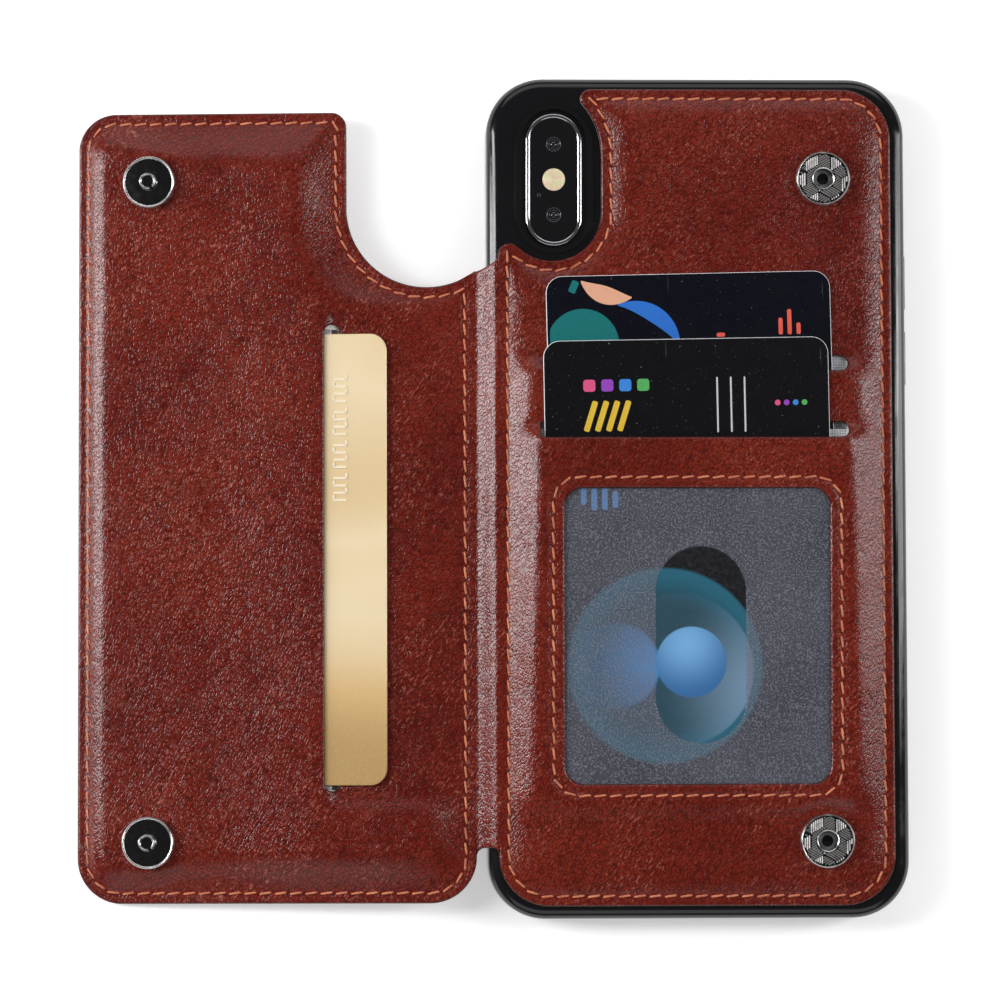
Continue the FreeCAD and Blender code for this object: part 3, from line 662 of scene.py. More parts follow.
def film_material():
    """Clear soft film with a light haze, dust and scratches."""
    s = Shader("window_film", (0.27, 0.28, 0.34), 0.14, Specular_IOR_Level=0.45)
    dust = s.noise(3000, 1, 0.5)
    haze = s.noise(60, 3, 0.6)
    scratch = s.noise(1500, 2, 0.7, at=s.scaled((1.0, 0.05, 1.0), math.radians(28)))
    alpha = s.math("ADD", s.map(dust, 0.48, 0.66, 0.0, 0.3), s.map(haze, 0.3, 0.75, 0.1, 0.16))
    alpha = s.math("ADD", alpha, s.map(scratch, 0.69, 0.78, 0.0, 0.35))
    rough = s.map(haze, 0.3, 0.7, 0.1, 0.24)
    return s.finish(None, rough, s.bump(haze, 0.3, 0.15), alpha)


def glass_material(name, colour, roughness=0.04):
    s = Shader(name, colour, roughness, Specular_IOR_Level=0.6, Coat_Weight=0.5)
    smudge = s.map(s.noise(120, 4, 0.6), 0.4, 0.8, roughness, roughness + 0.1)
    tone = s.mix(s.map(s.noise(2000, 2, 0.8), 0.66, 0.78, 0.0, 0.4), colour,
                 tuple(c + 0.04 for c in colour))
    return s.finish(tone, smudge)


def flash_material():
    s = Shader("flash", (0.86, 0.74, 0.48), 0.35, Subsurface_Weight=0.2)
    s.bsdf.inputs["Subsurface Radius"].default_value = (0.001, 0.0008, 0.0005)
    cells = s.voronoi(2300)
    patch = s.noise(700, 2)
    tone = s.ramp(patch, ((0.3, (0.93, 0.62, 0.5)), (0.55, (0.95, 0.85, 0.55)), (0.75, (0.8, 0.83, 0.5))))
    return s.finish(tone, None, s.bump(cells, 0.05, 0.8))


def ring_distance(s, x, y):
    """Distance in mm from a point of the piece's own XY plane."""
    shift = s.vector("SUBTRACT", s.position, (x * MM, y * MM, 0))
    flat = s.vector("MULTIPLY", shift, (1 / MM, 1 / MM, 0))
    return s.node("VectorMath", {0: flat}, operation="LENGTH").outputs["Value"]


def bubble_print_material():
    """Window card print: translucent teal bubbles round a blue ball on charcoal."""
    s = Shader("bubble_print", (0.02, 0.021, 0.026), 0.3)
    big = ring_distance(s, -6.2, 24.3)
    inner = ring_distance(s, -3.9, 23.5)
    lit = ring_distance(s, 13.0, 20.0)
    left = ring_distance(s, -15.3, 24.3)
    left_lit = ring_distance(s, -7.6, 25.0)
    ball = ring_distance(s, -1.2, 25.0)
    shine = ring_distance(s, -2.2, 28.6)
    base = s.mix(s.map(s.noise(1800, 3), 0.3, 0.8, 0, 0.5), (0.004, 0.0045, 0.006),
                 (0.045, 0.045, 0.052))
    halo = s.math("MULTIPLY", s.map(big, 11.0, 18.0, 0.3, 0.8), s.map(big, 18.0, 18.8, 1.0, 0.0))
    tone = s.mix(halo, base, (0.026, 0.16, 0.235))
    veil = s.math("MULTIPLY", s.map(lit, 1.0, 21.0, 0.8, 0.06), s.map(inner, 14.2, 14.7, 1.0, 0.0))
    tone = s.mix(veil, tone, (0.22, 0.34, 0.48))
    side = s.math("MULTIPLY", s.map(left_lit, 0.0, 14.0, 1.0, 0.15), s.map(left, 7.6, 8.5, 1.0, 0.0))
    tone = s.mix(s.math("MULTIPLY", side, 0.8), tone, (0.1, 0.36, 0.78))
    body = s.mix(s.map(shine, 0.0, 10.5, 0.0, 1.0), (0.19, 0.44, 0.74), (0.04, 0.15, 0.36))
    tone = s.mix(s.map(ball, 6.5, 6.8, 1.0, 0.0), tone, body)
    return s.finish(tone)


def floor_material():
    s = Shader("floor", (0.94, 0.94, 0.93), 0.6, Emission_Color=(1, 1, 1, 1), Emission_Strength=0.4)
    tone = s.mix(s.noise(6, 2), (0.93, 0.93, 0.92), (0.96, 0.96, 0.95))
    return s.finish(tone)


# ---------- heights of the leather ----------

def box_distance(points, box, radius):
    """Signed distance to a rounded box: negative inside."""
    x0, y0, x1, y1 = box
    qx = np.abs(points[:, 0] - (x0 + x1) / 2) - (x1 - x0) / 2 + radius
    qy = np.abs(points[:, 1] - (y0 + y1) / 2) - (y1 - y0) / 2 + radius
    outside = np.hypot(np.clip(qx, 0, None), np.clip(qy, 0, None))
    return outside + np.minimum(np.maximum(qx, qy), 0) - radius


def lumps(points, size, seed):
    """Smooth unevenness between about -1 and 1."""
    return np.array([noise.noise(Vector((x / size, y / size, seed))) for x, y in points])


def folds(points):
    """Soft slanting folds."""
    turned = points @ np.array([[math.cos(0.95), -math.sin(0.95)], [math.sin(0.95), math.cos(0.95)]])
    return lumps(turned * (0.3, 1.0), 2.6, 8.8)


def step(values, centre, width):
    """Soft step from 0 below to 1 above."""
    return smooth((values - centre) / np.maximum(width, 1e-6) + 0.5)


def beyond(points):
    """How far a point lies beyond the slots' ends."""
    x = points[:, 0]
    return np.clip(np.maximum(SLOT_X[0] - x, x - SLOT_X[1]), 0, None)


def panel_zone(points):
    """Height of the stuffed leather away from its margin."""
    y = points[:, 1]
    spread = 1 + 0.55 * beyond(points)
    lowest = 11.75
    window_zone = 15.25 + (y - SLOT_B_Y[0]) * CARD_B["rise"]
    strip = 13.12 + (y - SLOT_B_Y[1]) * (0.18 / 9.85)
    upper = ZONE_TOP + 0.12
    a = step(y, sum(SLOT_A_Y) / 2, 2.85 * spread)
    b = step(y, sum(SLOT_B_Y) / 2, 2.9 * spread)
    ramp = step(y, RAMP_Y, RAMP_W)
    return (lowest * (1 - ramp) + window_zone * ramp * (1 - b)
            + strip * b * (1 - a) + upper * a)


def card_level(card, y):
    """Height of a card's underside at a distance along it."""
    return card["z"] + (y - card["y"]) * card["rise"]


def panel_clearance(points):
    """Height of the cards and film that the leather has to clear."""
    y = points[:, 1]
    over = beyond(points) <= 0
    strip = over & (y > SLOT_B_Y[1] - 0.4) & (y < SLOT_A_Y[0] + 0.2)
    pocket = over & (y < SLOT_B_Y[0] + 0.2) & (y > CARD_B["y"] - 0.3)
    turn = math.radians(CARD_A["turn"])
    along = y * math.cos(turn) - points[:, 0] * math.sin(turn)
    clear = np.where(strip, card_level(CARD_A, along) + CARD_T + CLEAR, -9)
    return np.where(pocket, card_level(CARD_B, y) + FILM_TOP + CLEAR, clear)


def panel_top(points, distance):
    zone = panel_zone(points)
    rise = smooth((distance - 1.5) / (4.4 + 0.75 * (zone - ZONE_TOP))) ** 0.8
    height = FLANGE_TOP + (zone - FLANGE_TOP) * rise
    height -= 0.14 * bell(distance, STITCH_INSET, 0.5)
    seam = box_distance(points, WINDOW_SEAM, WINDOW_SEAM_R)
    height -= 0.26 * bell(seam, 0, 0.6)
    height += 0.08 * bell(seam, 2.4, 1.3) * step(distance, 5.5, 3.0)
    uneven = lumps(points, 13, 3.1) * 0.08 + lumps(points, 5.2, 7.7) * 0.035
    height += uneven * smooth((distance - 2.2) / 3)
    lip = box_distance(points, WINDOW, WINDOW_R)
    height -= 0.14 * smooth((1.4 - lip) / 1.4)
    for edge in (SLOT_A_Y[0], SLOT_B_Y[0]):
        height += 0.1 * bell(edge - points[:, 1], 1.3, 0.9) * (beyond(points) <= 0)
    height = level_near(points, SOCKET_X, height, ZONE_TOP - 0.04, 8.6)
    return np.maximum(height, panel_clearance(points) + 0.42)


def panel_under(points, distance, top):
    floor = FLANGE_TOP - 0.75
    return np.maximum(np.maximum(floor, top - LEATHER), panel_clearance(points))


def level_near(points, x, height, level, reach):
    """Height that turns into a level round the two snaps."""
    away = np.array([np.hypot(points[:, 0] - x, points[:, 1] - y) for y in SNAP_Y]).min(0)
    return height + (level - height) * smooth((reach - away) / 3.2)


def on_spine(points, high):
    """1 along the edge where the spine's leather carries on, 0 elsewhere."""
    y = points[:, 1]
    return step(y, SPINE_BOTTOM + 0.4, 0.6) * step(-y, -high + 0.4, 0.6)


def panel_soft(points):
    return 1 - on_spine(points, SPINE_TOP_PANEL) * (points[:, 0] < PANEL[0] + 2.5)


def flap_soft(points):
    return 1 - on_spine(points, SPINE_TOP_FLAP) * (points[:, 0] > FLAP_RIGHT - 2.5)


def flap_zone_top(points):
    x, y = points.T
    high = FLAP_SLOT_TOP + (FLAP_STUD_TOP - FLAP_SLOT_TOP) * smooth((-72.0 - x) / 22)
    beyond_slot = np.clip(np.maximum(FLAP_SLOT[1] - y, y - FLAP_SLOT[3]), 0, None)
    low = LEDGE_TOP + (FLAP_SLOT_TOP - 0.35 - LEDGE_TOP) * smooth(beyond_slot / 5)
    low = low - 0.4 * smooth((x + 62) / 16)
    edge = (FLAP_SLOT[0] + FLAP_SLOT[2]) / 2
    return high + (low - high) * step(x, edge + 0.1, 2.6 * (1 + 0.5 * beyond_slot))


def flap_clearance(points):
    x, y = points.T
    over = ((x > FLAP_CARD[0] - 0.4) & (x < FLAP_SLOT[0] + 0.1) & (y > FLAP_CARD[1] - 0.4)
            & (y < FLAP_CARD[1] + CARD_L + 0.4))
    return np.where(over, FLAP_CARD_Z + (x - FLAP_CARD_REF) * FLAP_CARD_RISE + CARD_T + CLEAR, -9)


def flap_top(points, distance):
    x = points[:, 0]
    left = step(-x, -FLAP_LEFT - 9.0, 14.0)
    rise = smooth((distance - 1.3) / (9.0 - 5.8 * left))
    height = FLAP_EDGE + (flap_zone_top(points) - FLAP_EDGE) * rise
    height -= 0.12 * bell(distance, FLAP_STITCH_INSET, 0.5)
    uneven = lumps(points, 17, 11.3) * 0.12 + lumps(points, 6, 5.9) * 0.04 + folds(points) * 0.07
    height += uneven * smooth((distance - 2.0) / 4) * (1 - 0.6 * step(x, -80, 14))
    height = level_near(points, STUD_X, height, FLAP_STUD_TOP - 0.04, 8.2)
    return np.maximum(height, flap_clearance(points) + 0.42)


def flap_inner_under(points, distance, top):
    return np.maximum(np.maximum(FLAP_MID, top - LEATHER), flap_clearance(points))


# ---------- leather pieces ----------

def baked(obj):
    """Moves an object's place into its mesh, so that textures run on across pieces."""
    obj.data.transform(obj.matrix_world)
    obj.matrix_world = WORLD
    return obj


def slot_hole(y, card):
    """Slit that ends at the card's left edge and gapes a little beyond its right edge."""
    left = card["x"] - CARD_W / 2 - 1.1
    end = (y[1] - y[0]) / 2 - 0.02
    return resample(rounded((left, y[0], SLOT_X[1], y[1]), (0.4, end, end, 0.4)), SPACING)


def make_panel(leather):
    outline = panel_outline()
    holes = [slot_hole(SLOT_A_Y, CARD_A), slot_hole(SLOT_B_Y, CARD_B),
             resample(rounded(WINDOW, WINDOW_R), SPACING)]
    panel = thick_sheet("panel_leather", outline, holes, panel_top, panel_under, [leather],
                        CASE_PLACE, soft_edge=panel_soft)
    finish_piece(baked(panel), "case", "leather_brown", "back_panel_leather")


def make_flap(leather):
    outline = flap_outline()
    hole = resample(rounded(FLAP_SLOT, (FLAP_SLOT[2] - FLAP_SLOT[0]) / 2 - 0.02), SPACING)
    inner = thick_sheet("flap_inner_skin", outline, [hole], flap_top, flap_inner_under,
                        [leather], FLAP_PLACE, soft_edge=flap_soft)
    finish_piece(baked(inner), "flap", "leather_brown", "flap_inner_leather")
    outer = thick_sheet("flap_outer_skin", outline, [], lambda p, d: np.full(len(p), FLAP_MID - 0.01),
                        outer_under, [leather], FLAP_PLACE, round_top=False)
    finish_piece(baked(outer), "flap", "leather_brown", "flap_outer_leather")


def foam_piece(name, edge, pulled_in, hole, height, floor, place, body, node, foam):
    """Foam between a floor and the leather above it, pulled in from the leather's edge."""
    outline = resample(inset(edge, pulled_in).tolist(), 0.9)

    def upper(points, distance):
        return np.maximum(height(points, margin(points, edge)) - LEATHER - 0.04, floor + 0.04)

    def under(points, distance, top):
        return np.full(len(points), floor)

    sheet = thick_sheet(name, outline, [resample(rounded(hole, 1.0), 0.9)], upper, under, [foam], place,
                        soft_edge=lambda p: np.zeros(len(p)))
    finish_piece(baked(sheet), body, "foam", node)


def make_foam(foam):
    """Foam under the leather, cut out for the pockets."""
    foam_piece("panel_foam", panel_outline(), 4.6, (-30.3, -57.4, 28.3, 30.5), panel_top,
               FLANGE_TOP - 0.72, CASE_PLACE, "case", "back_padding", foam)
    foam_piece("flap_foam", flap_outline(), 5.2, (-113.9, -55.5, FLAP_SLOT[2] + 0.3, 31.9), flap_top,
               FLAP_MID + 0.82, FLAP_PLACE, "flap", "flap_padding", foam)


def outer_under(points, distance, top):
    """Outer face of the flap, pulled in a little along its stitches."""
    groove = 0.12 * bell(distance, STITCH_INSET, 0.5)
    return FLAP_UNDER + 0.02 + groove + 0.03 * (1 + lumps(points, 12, 2.2)) * smooth((distance - 2) / 3)


def spine_line(t, y, sink=0.0):
    """Point of the spine's upper face in metres, t = 0 at the panel and 1 at the flap."""
    a = CASE_PLACE @ Vector((PANEL[0] * MM, y * MM, FLANGE_TOP * MM))
    b = FLAP_PLACE @ Vector((FLAP_RIGHT * MM, y * MM, FLAP_EDGE * MM))
    reach = (b - a).length * 0.95
    ta = Vector((-reach, 0, 0))
    tb = FLAP_PLACE.to_3x3() @ Vector((-reach, 0, 0))
    t2, t3 = t * t, t * t * t
    share, lean = 3 * t2 - 2 * t3, 6 * t - 6 * t2
    point = a * (1 - share) + ta * (t3 - 2 * t2 + t) + b * share + tb * (t3 - t2)
    slope = (b - a) * lean + ta * (3 * t2 - 4 * t + 1) + tb * (3 * t2 - 2 * t)
    normal = Vector((slope.z, 0, -slope.x)).normalized()
    return point - normal * sink * MM


def spine_section(t, width):
    """Closed section of the spine at t: its upper face from top to bottom, then its underside."""
    from_end = min(t, 1 - t) * width
    fillet = SPINE_FILLET - math.sqrt(SPINE_FILLET ** 2 - max(SPINE_FILLET - from_end, 0) ** 2)
    low = SPINE_BOTTOM - fillet
    high = SPINE_TOP_PANEL + (SPINE_TOP_FLAP - SPINE_TOP_PANEL) * t + 0.7 * fillet * (1 - t)
    ends = np.array((0,) + EDGE_RINGS[:5])
    ys = np.concatenate([low + ends, np.linspace(low + 1.8, high - 1.8, 125), high - ends[::-1]])
    gaps = np.minimum(ys - low, high - ys)
    upper, middle = [], math.sin(math.pi * t)
    for y, sink in zip(ys, edge_drop(gaps)):
        wave = 0.05 * middle * noise.noise(Vector((t * 2, y / 6, 4.4)))
        upper.append(spine_line(t, y, sink + wave))
    under = [spine_line(t, y, LEATHER + 0.05) for y in ys]
    return upper[::-1] + under, [*gaps[::-1], *np.zeros(len(ys))]


def make_spine(leather):
    """Leather between panel and flap, in two strips that meet halfway."""
    width = (spine_line(0, 0) - spine_line(1, 0)).length / MM
    halves = (("spine_panel_half", 0.0, 0.5, "case", "spine", (0.0, 0.33)),
              ("spine_flap_half", 0.5, 1.0, "spine", "flap", (0.62, 1.0)))
    for name, t0, t1, a, b, turn in halves:
        sections = [spine_section(t, width) for t in np.linspace(t0, t1, 14)]
        verts = np.array([tuple(v) for points, _ in sections for v in points]) / MM
        faces = ring_faces(len(sections), len(sections[0][0]), False)
        obj = new_object(name, verts, faces, [leather], None, 60)
        add_float(obj, "edge", np.concatenate([gaps for _, gaps in sections]))
        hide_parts("spine_leather")
        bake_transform(obj)


# ---------- stitches ----------

def spaced(loop, pitch):
    """Points and directions at even steps along a closed loop."""
    closed = np.concatenate([loop, loop[:1]])
    along = np.concatenate([[0], np.cumsum(np.hypot(*np.diff(closed, axis=0).T))])
    count = int(round(along[-1] / pitch))
    where = np.arange(count) * along[-1] / count

    def point(ahead):
        place = (where + ahead) % along[-1]
        return np.stack([np.interp(place, along, closed[:, i]) for i in (0, 1)], 1)

    direction = point(0.6) - point(-0.6)
    return point(0), direction / np.hypot(*direction.T)[:, None]


def stitch_row(name, loop, height, place, body, node, thread, hole):
    """Slanted two-ply stitches along a loop, each going down into a dark needle hole at its ends."""
    centres, directions = spaced(loop, STITCH_PITCH)
    turn = np.radians(STITCH_SLANT)
    d = directions @ np.array([[math.cos(turn), math.sin(turn)], [-math.sin(turn), math.cos(turn)]])
    side = np.stack([-d[:, 1], d[:, 0]], 1)
    sections, ring = 11, 10
    s = np.linspace(-1, 1, sections)
    spots = centres[:, None] + d[:, None] * (s * STITCH_LENGTH / 2)[None, :, None]
    surface = height(spots.reshape(-1, 2)).reshape(len(centres), sections)
    level = surface + 0.28 * np.sqrt(np.clip(1 - s ** 2, 0, 1)) - 0.13
    taper = 0.62 + 0.38 * np.sqrt(np.clip(1 - s ** 4, 0, 1))
    angles = np.arange(ring) * 2 * math.pi / ring
    verts, faces = [], []
    for i in range(len(centres)):
        faces += ring_faces(sections, ring, False, len(verts))
        for k in range(sections):
            ply = 0.94 + 0.13 * np.abs(np.cos(angles - s[k] * 3.4 + i))
            across = THREAD_HALF[0] * taper[k] * ply * np.cos(angles)
            up = THREAD_HALF[1] * taper[k] * ply * np.sin(angles)
            verts += [(*(spots[i, k] + side[i] * u), level[i, k] + w) for u, w in zip(across, up)]
    finish_piece(new_object(name, verts, faces, [thread], None, 70, place), body, "thread_orange", node)
    reach = d * (STITCH_LENGTH / 2 + 0.1)
    spots = np.concatenate([centres + reach, centres - reach])
    needle_holes(name + "_holes", spots, height, place, body, hole)


def needle_holes(name, spots, height, place, body, material):
    """Shallow dimples with a thin rim that lies on the leather, coloured dark as painted shade in the needle
    holes.
    """
    ring = 9
    angles = np.arange(ring) * 2 * math.pi / ring
    circle_points = np.stack([np.cos(angles), np.sin(angles)], 1)
    rims = spots[:, None] + circle_points * 0.23
    inner = spots[:, None] + circle_points * 0.16
    rim_z = height(rims.reshape(-1, 2)).reshape(-1, ring) + 0.015
    centre_z = height(spots)
    verts, faces = [], []
    for i, spot in enumerate(spots):
        base = len(verts)
        verts += [(*p, z) for p, z in zip(rims[i], rim_z[i])]
        verts += [(*p, centre_z[i] - 0.02) for p in inner[i]]
        verts += [(*spot, centre_z[i] - 0.14), (*spot, centre_z[i] - 0.4)]
        for j in range(base, base + ring):
            k = base + (j - base + 1) % ring
            faces += [(j, k, ring + k, ring + j), (ring + j, ring + k, base + 2 * ring),
                      (k, j, base + 2 * ring + 1)]
    finish_piece(new_object(name, verts, faces, [material], None, 60, place), body, "thread_orange")


def make_stitching(thread, hole):
    panel, flap = panel_outline(), flap_outline()

    def on_panel(points):
        return panel_top(points, margin(points, panel))

    def on_flap(points):
        return flap_top(points, margin(points, flap))

    seam = resample(rounded(WINDOW_SEAM, WINDOW_SEAM_R), SPACING)
    stitch_row("panel_stitches", inset(panel, STITCH_INSET), on_panel, CASE_PLACE, "case",
               "back_panel_stitching", thread, hole)
    stitch_row("window_stitches", seam, on_panel, CASE_PLACE, "case", "window_stitching", thread, hole)
    stitch_row("flap_stitches", inset(flap, FLAP_STITCH_INSET), on_flap, FLAP_PLACE, "flap",
               "flap_stitching", thread, hole)


# ---------- phone and shell ----------

def make_bezel(chrome):
    low, high = box_mm("camera_trim_ring")
    half = BEZEL_W / 2
    section = [(half, low.z), (half, high.z - 0.36), (half - 0.1, high.z - 0.1), (0.15, high.z),
               (-0.12, high.z), (-half + 0.1, high.z - 0.12), (-half, high.z - 0.35), (-half, low.z)]
    path = stadium_path((low.x + high.x) / 2, (low.y + high.y) / 2, high.x - low.x - BEZEL_W,
                        high.y - low.y - BEZEL_W)
    ring = swept_ring("camera_bezel", path, section, chrome, None)
    finish_piece(ring, "case", "camera_chrome", "camera_trim_ring")


def make_lenses(black, rim_metal, dome, x, cover):
    """Two stepped lens barrels, each with a small dome in its middle."""
    low, high = box_mm("camera_lenses")
    reach = (high.x - low.x) / 2
    steps = [(0, -0.3)] + [(LENS_R - inset_by, z) for inset_by, z in (
        (0, -0.3), (0, 0), (0.06, 0.03), (0.14, 0.02), (0.2, -0.03), (0.42, -0.05), (0.46, 0),
        (0.54, 0.01), (0.62, -0.06), (0.84, -0.1))] + [(0, -0.12)]
    slots = [0, 0, 1, 1, 0, 0, 0, 1, 0, 0, 0, 0]
    cap = [(0, -0.2), (0.56, -0.2), (DOME_R, -0.1)] + [
        (DOME_R * math.cos(a), -0.1 + 0.22 * math.sin(a)) for a in np.linspace(0.2, 1.4, 7)] + [(0, 0.12)]
    for i, y in enumerate((high.y - reach, low.y + reach)):
        place = shifted(WORLD, x, y, cover + 0.02)
        barrel = lathe(f"lens_barrel_{i + 1}", steps, [black, rim_metal], slots, place)
        finish_piece(barrel, "case", "lens_black", "camera_lenses")
        bead = lathe(f"lens_dome_{i + 1}", cap, [dome], [0] * len(cap), place)
        finish_piece(bead, "case", "camera_glass")
    # Painted shade: the black bottom of the shallow microphone dimple stands in for the shade inside the
    # hole.
    mic = [(0, -0.2), (0.34, -0.2), (0.34, 0.02), (0.26, 0.05), (0.2, 0.0), (0.16, -0.12), (0, -0.14)]
    mic_place = shifted(WORLD, x - 2.8, (low.y + high.y) / 2 - 3.0, cover)
    hole = lathe("microphone_hole", mic, [rim_metal, black], [0, 0, 0, 0, 1, 1, 1], mic_place, 32)
    finish_piece(hole, "case", "camera_chrome")


def make_flash(flash, x, cover):
    """Flash with the concentric steps of a flat lens."""
    low, high = box_mm("camera_flash")
    radius = (high.x - low.x) / 2
    rings = [(0, -0.4), (radius, -0.4), (radius, -0.06)]
    for i in range(10):
        r = radius * (1 - (i + 0.5) / 10.5)
        rings += [(r + 0.08, 0.0), (r, -0.07)]
    rings.append((0, -0.02))
    place = shifted(WORLD, x, (low.y + high.y) / 2, cover + 0.06)
    led = lathe("flash_lens", rings, [flash], [0] * len(rings), place, 48)
    finish_piece(led, "case", "flash_cream", "camera_flash")


def make_camera(chrome, rim_metal, black, dome, flash):
    low, high = box_mm("camera_trim_ring")
    x, cover = (low.x + high.x) / 2, box_mm("camera_cover_glass")[1].z
    make_bezel(chrome)
    make_lenses(black, rim_metal, dome, x, cover)
    make_flash(flash, x, cover)


# ---------- snaps ----------

def block_face(x, y):
    """Which of the three faces of tumbling blocks a point of the pattern lies on."""
    q = (math.sqrt(3) / 3 * x - y / 3) / BLOCK
    r = 2 / 3 * y / BLOCK
    cube = [q, r, -q - r]
    near = [round(c) for c in cube]
    gaps = [abs(a - b) for a, b in zip(near, cube)]
    worst = gaps.index(max(gaps))
    near[worst] = -sum(near) + near[worst]
    cx = BLOCK * math.sqrt(3) * (near[0] + near[1] / 2)
    cy = BLOCK * 1.5 * near[1]
    return int((math.degrees(math.atan2(y - cy, x - cx)) + 90) % 360 // 120)


def block_bars(face, inner, outer):
    """Straight bars of one face of the blocks, kept between two radii."""
    turn = math.radians((0, 60, 120)[face])
    along, across = Vector((-math.sin(turn), math.cos(turn))), Vector((math.cos(turn), math.sin(turn)))
    steps = np.arange(-outer, outer, 0.06)
    bars = []
    for offset in np.arange(-outer + BAR_PITCH / 2, outer, BAR_PITCH):
        start = None
        for t in steps:
            p = across * offset + along * t
            kept = inner < p.length < outer and block_face(p.x + 0.9, p.y) == face
            if kept and start is None:
                start = t
            if start is not None and not kept:
                if t - start > 0.35:
                    a, b = (across * offset + along * end for end in (start + 0.07, t - 0.1))
                    half = across * BAR_HALF
                    bars.append([a - half, b - half, b + half, a + half])
                start = None
    return bars


def make_sockets(bright, upright_lit, slanted_shaded, dark):
    """Female halves: domed caps whose face carries bars in tumbling blocks round a ringed hole."""
    face = SOCKET_PROUD - 0.14
    faces = [block_bars(i, 2.2, SOCKET_R - 0.62) for i in range(3)]
    for name, y in zip(("upper", "lower"), SNAP_Y):
        profile = [(0, -0.1), (SOCKET_R - 0.25, -0.1), (SOCKET_R, 0.05), (SOCKET_R, SOCKET_PROUD - 0.5),
                   (SOCKET_R - 0.1, SOCKET_PROUD - 0.16), (SOCKET_R - 0.25, SOCKET_PROUD),
                   (SOCKET_R - 0.4, SOCKET_PROUD - 0.03), (SOCKET_R - 0.48, face - 0.06),
                   (2.16, face - 0.06), (2.12, face + 0.1), (2.0, face + 0.14), (1.88, face + 0.06),
                   (1.84, face - 0.3), (1.8, 0.1), (0, 0.1)]
        # Painted shade: slot 1, the near-black nickel, colours the face between the bars and the inside of
        # the hole.
        slots = [1, 1, 0, 0, 0, 0, 1, 1, 0, 0, 0, 1, 1, 1, 1]
        place = shifted(CASE_PLACE, SOCKET_X, y, ZONE_TOP)
        cap = lathe(f"snap_socket_{name}", profile, [bright, dark], slots, place, 128)
        finish_piece(cap, "case", "nickel", "socket_cap_" + name)
        # Painted light: the upright bars take a lit copy of the nickel and the slanted bars a shaded copy.
        for kind, loops, material in (("upright_lit", faces[0], upright_lit), ("slanted", faces[1] + faces[2], slanted_shaded)):
            prints(f"snap_socket_{name}_{kind}", loops, face - 0.05, material, place, "case", 0.06, "nickel")


def make_studs(bright, mirror):
    """Male halves: mirror discs with a thin rim and a tubular post, open on one side."""
    for name, y in zip(("upper", "lower"), SNAP_Y):
        place = shifted(FLAP_PLACE, STUD_X, y, FLAP_STUD_TOP)
        top = STUD_PROUD
        profile = [(0, -0.1), (STUD_R - 0.25, -0.1), (STUD_R, 0.05), (STUD_R, top - 0.36),
                   (STUD_R - 0.09, top - 0.1), (STUD_R - 0.24, top), (STUD_R - 0.4, top - 0.03),
                   (STUD_R - 0.5, top - 0.12), (STUD_R - 1.2, top - 0.09), (3.0, top - 0.05),
                   (2.2, top - 0.03), (1.9, top - 0.06), (0, top - 0.06)]
        slots = [0, 0, 0, 0, 0, 0, 0, 1, 1, 1, 1, 1, 1]
        disc = lathe(f"snap_disc_{name}", profile, [bright, mirror], slots, place, 128)
        finish_piece(disc, "flap", "nickel_dark", "stud_disc_" + name)
        post = open_tube(f"snap_post_{name}", top - 0.1, top + POST_L, bright, place)
        finish_piece(post, "flap", "nickel", "stud_post_" + name)


def open_tube(name, low, high, material, place):
    """Tube with rolled ends and a slit, as a split post has."""
    crest = (POST_R + POST_HOLE_R) / 2
    section = [(POST_HOLE_R, low), (POST_R + 0.12, low), (POST_R, low + 0.15), (POST_R, high - 0.3),
               (POST_R - 0.06, high - 0.1), (crest + 0.06, high), (crest - 0.08, high),
               (POST_HOLE_R + 0.04, high - 0.1), (POST_HOLE_R, high - 0.28)]
    slit, turns = math.radians(26), 64
    verts = []
    for i in range(turns + 1):
        angle = math.radians(-62) + slit / 2 + (2 * math.pi - slit) * i / turns
        verts += [(r * math.cos(angle), r * math.sin(angle), z) for r, z in section]
    return new_object(name, verts, ring_faces(turns + 1, len(section), False), [material], None, 35, place)


# ---------- cards ----------

def slab(name, outline, z0, z1, materials, place, bevel=0.1, caps=(0, 1, 1)):
    """Flat piece with small bevels; caps gives the slots of its top, side and underside."""
    outline = np.array(outline)
    inner = outline + inward(outline) * bevel
    rings = ((inner, z1), (outline, z1 - bevel), (outline, z0 + bevel), (inner, z0))
    verts = [(*p, z) for loop, z in rings for p in loop]
    slots = [caps[1]] * (3 * len(outline)) + [caps[0], caps[2]]
    return new_object(name, verts, ring_faces(4, len(outline), False), materials, slots, 30, place)


def prints(name, loops, z, material, place, body, height=0.02, slot="card_print"):
    """Thin raised print made of several closed shapes."""
    verts, faces = [], []
    for loop in loops:
        faces += ring_faces(2, len(loop), False, len(verts))
        verts += [(*p, z + height) for p in loop] + [(*p, z - 0.02) for p in loop]
    finish_piece(new_object(name, verts, faces, [material], None, 30, place), body, slot)


def bar(x, y, width, length, angle=0.0, radius=0.3):
    """Rounded bar centred on a point."""
    points = np.array(rounded((-width / 2, -length / 2, width / 2, length / 2),
                              min(radius, width / 2.01, length / 2.01)))
    a = math.radians(angle)
    turn = np.array([[math.cos(a), math.sin(a)], [-math.sin(a), math.cos(a)]])
    return points @ turn + (x, y)


def ring_arc(x, y, outer, inner, start, end):
    """Part of a ring that narrows to points at both ends."""
    steps = 22
    angles = np.radians(np.linspace(start, end, steps))
    width = (outer - inner) / 2 * np.sin(np.linspace(0.08, math.pi - 0.08, steps))
    middle = (outer + inner) / 2
    out = np.stack([x + (middle + width) * np.cos(angles), y + (middle + width) * np.sin(angles)], 1)
    back = np.stack([x + (middle - width) * np.cos(angles), y + (middle - width) * np.sin(angles)], 1)
    return np.concatenate([out, back[::-1]])


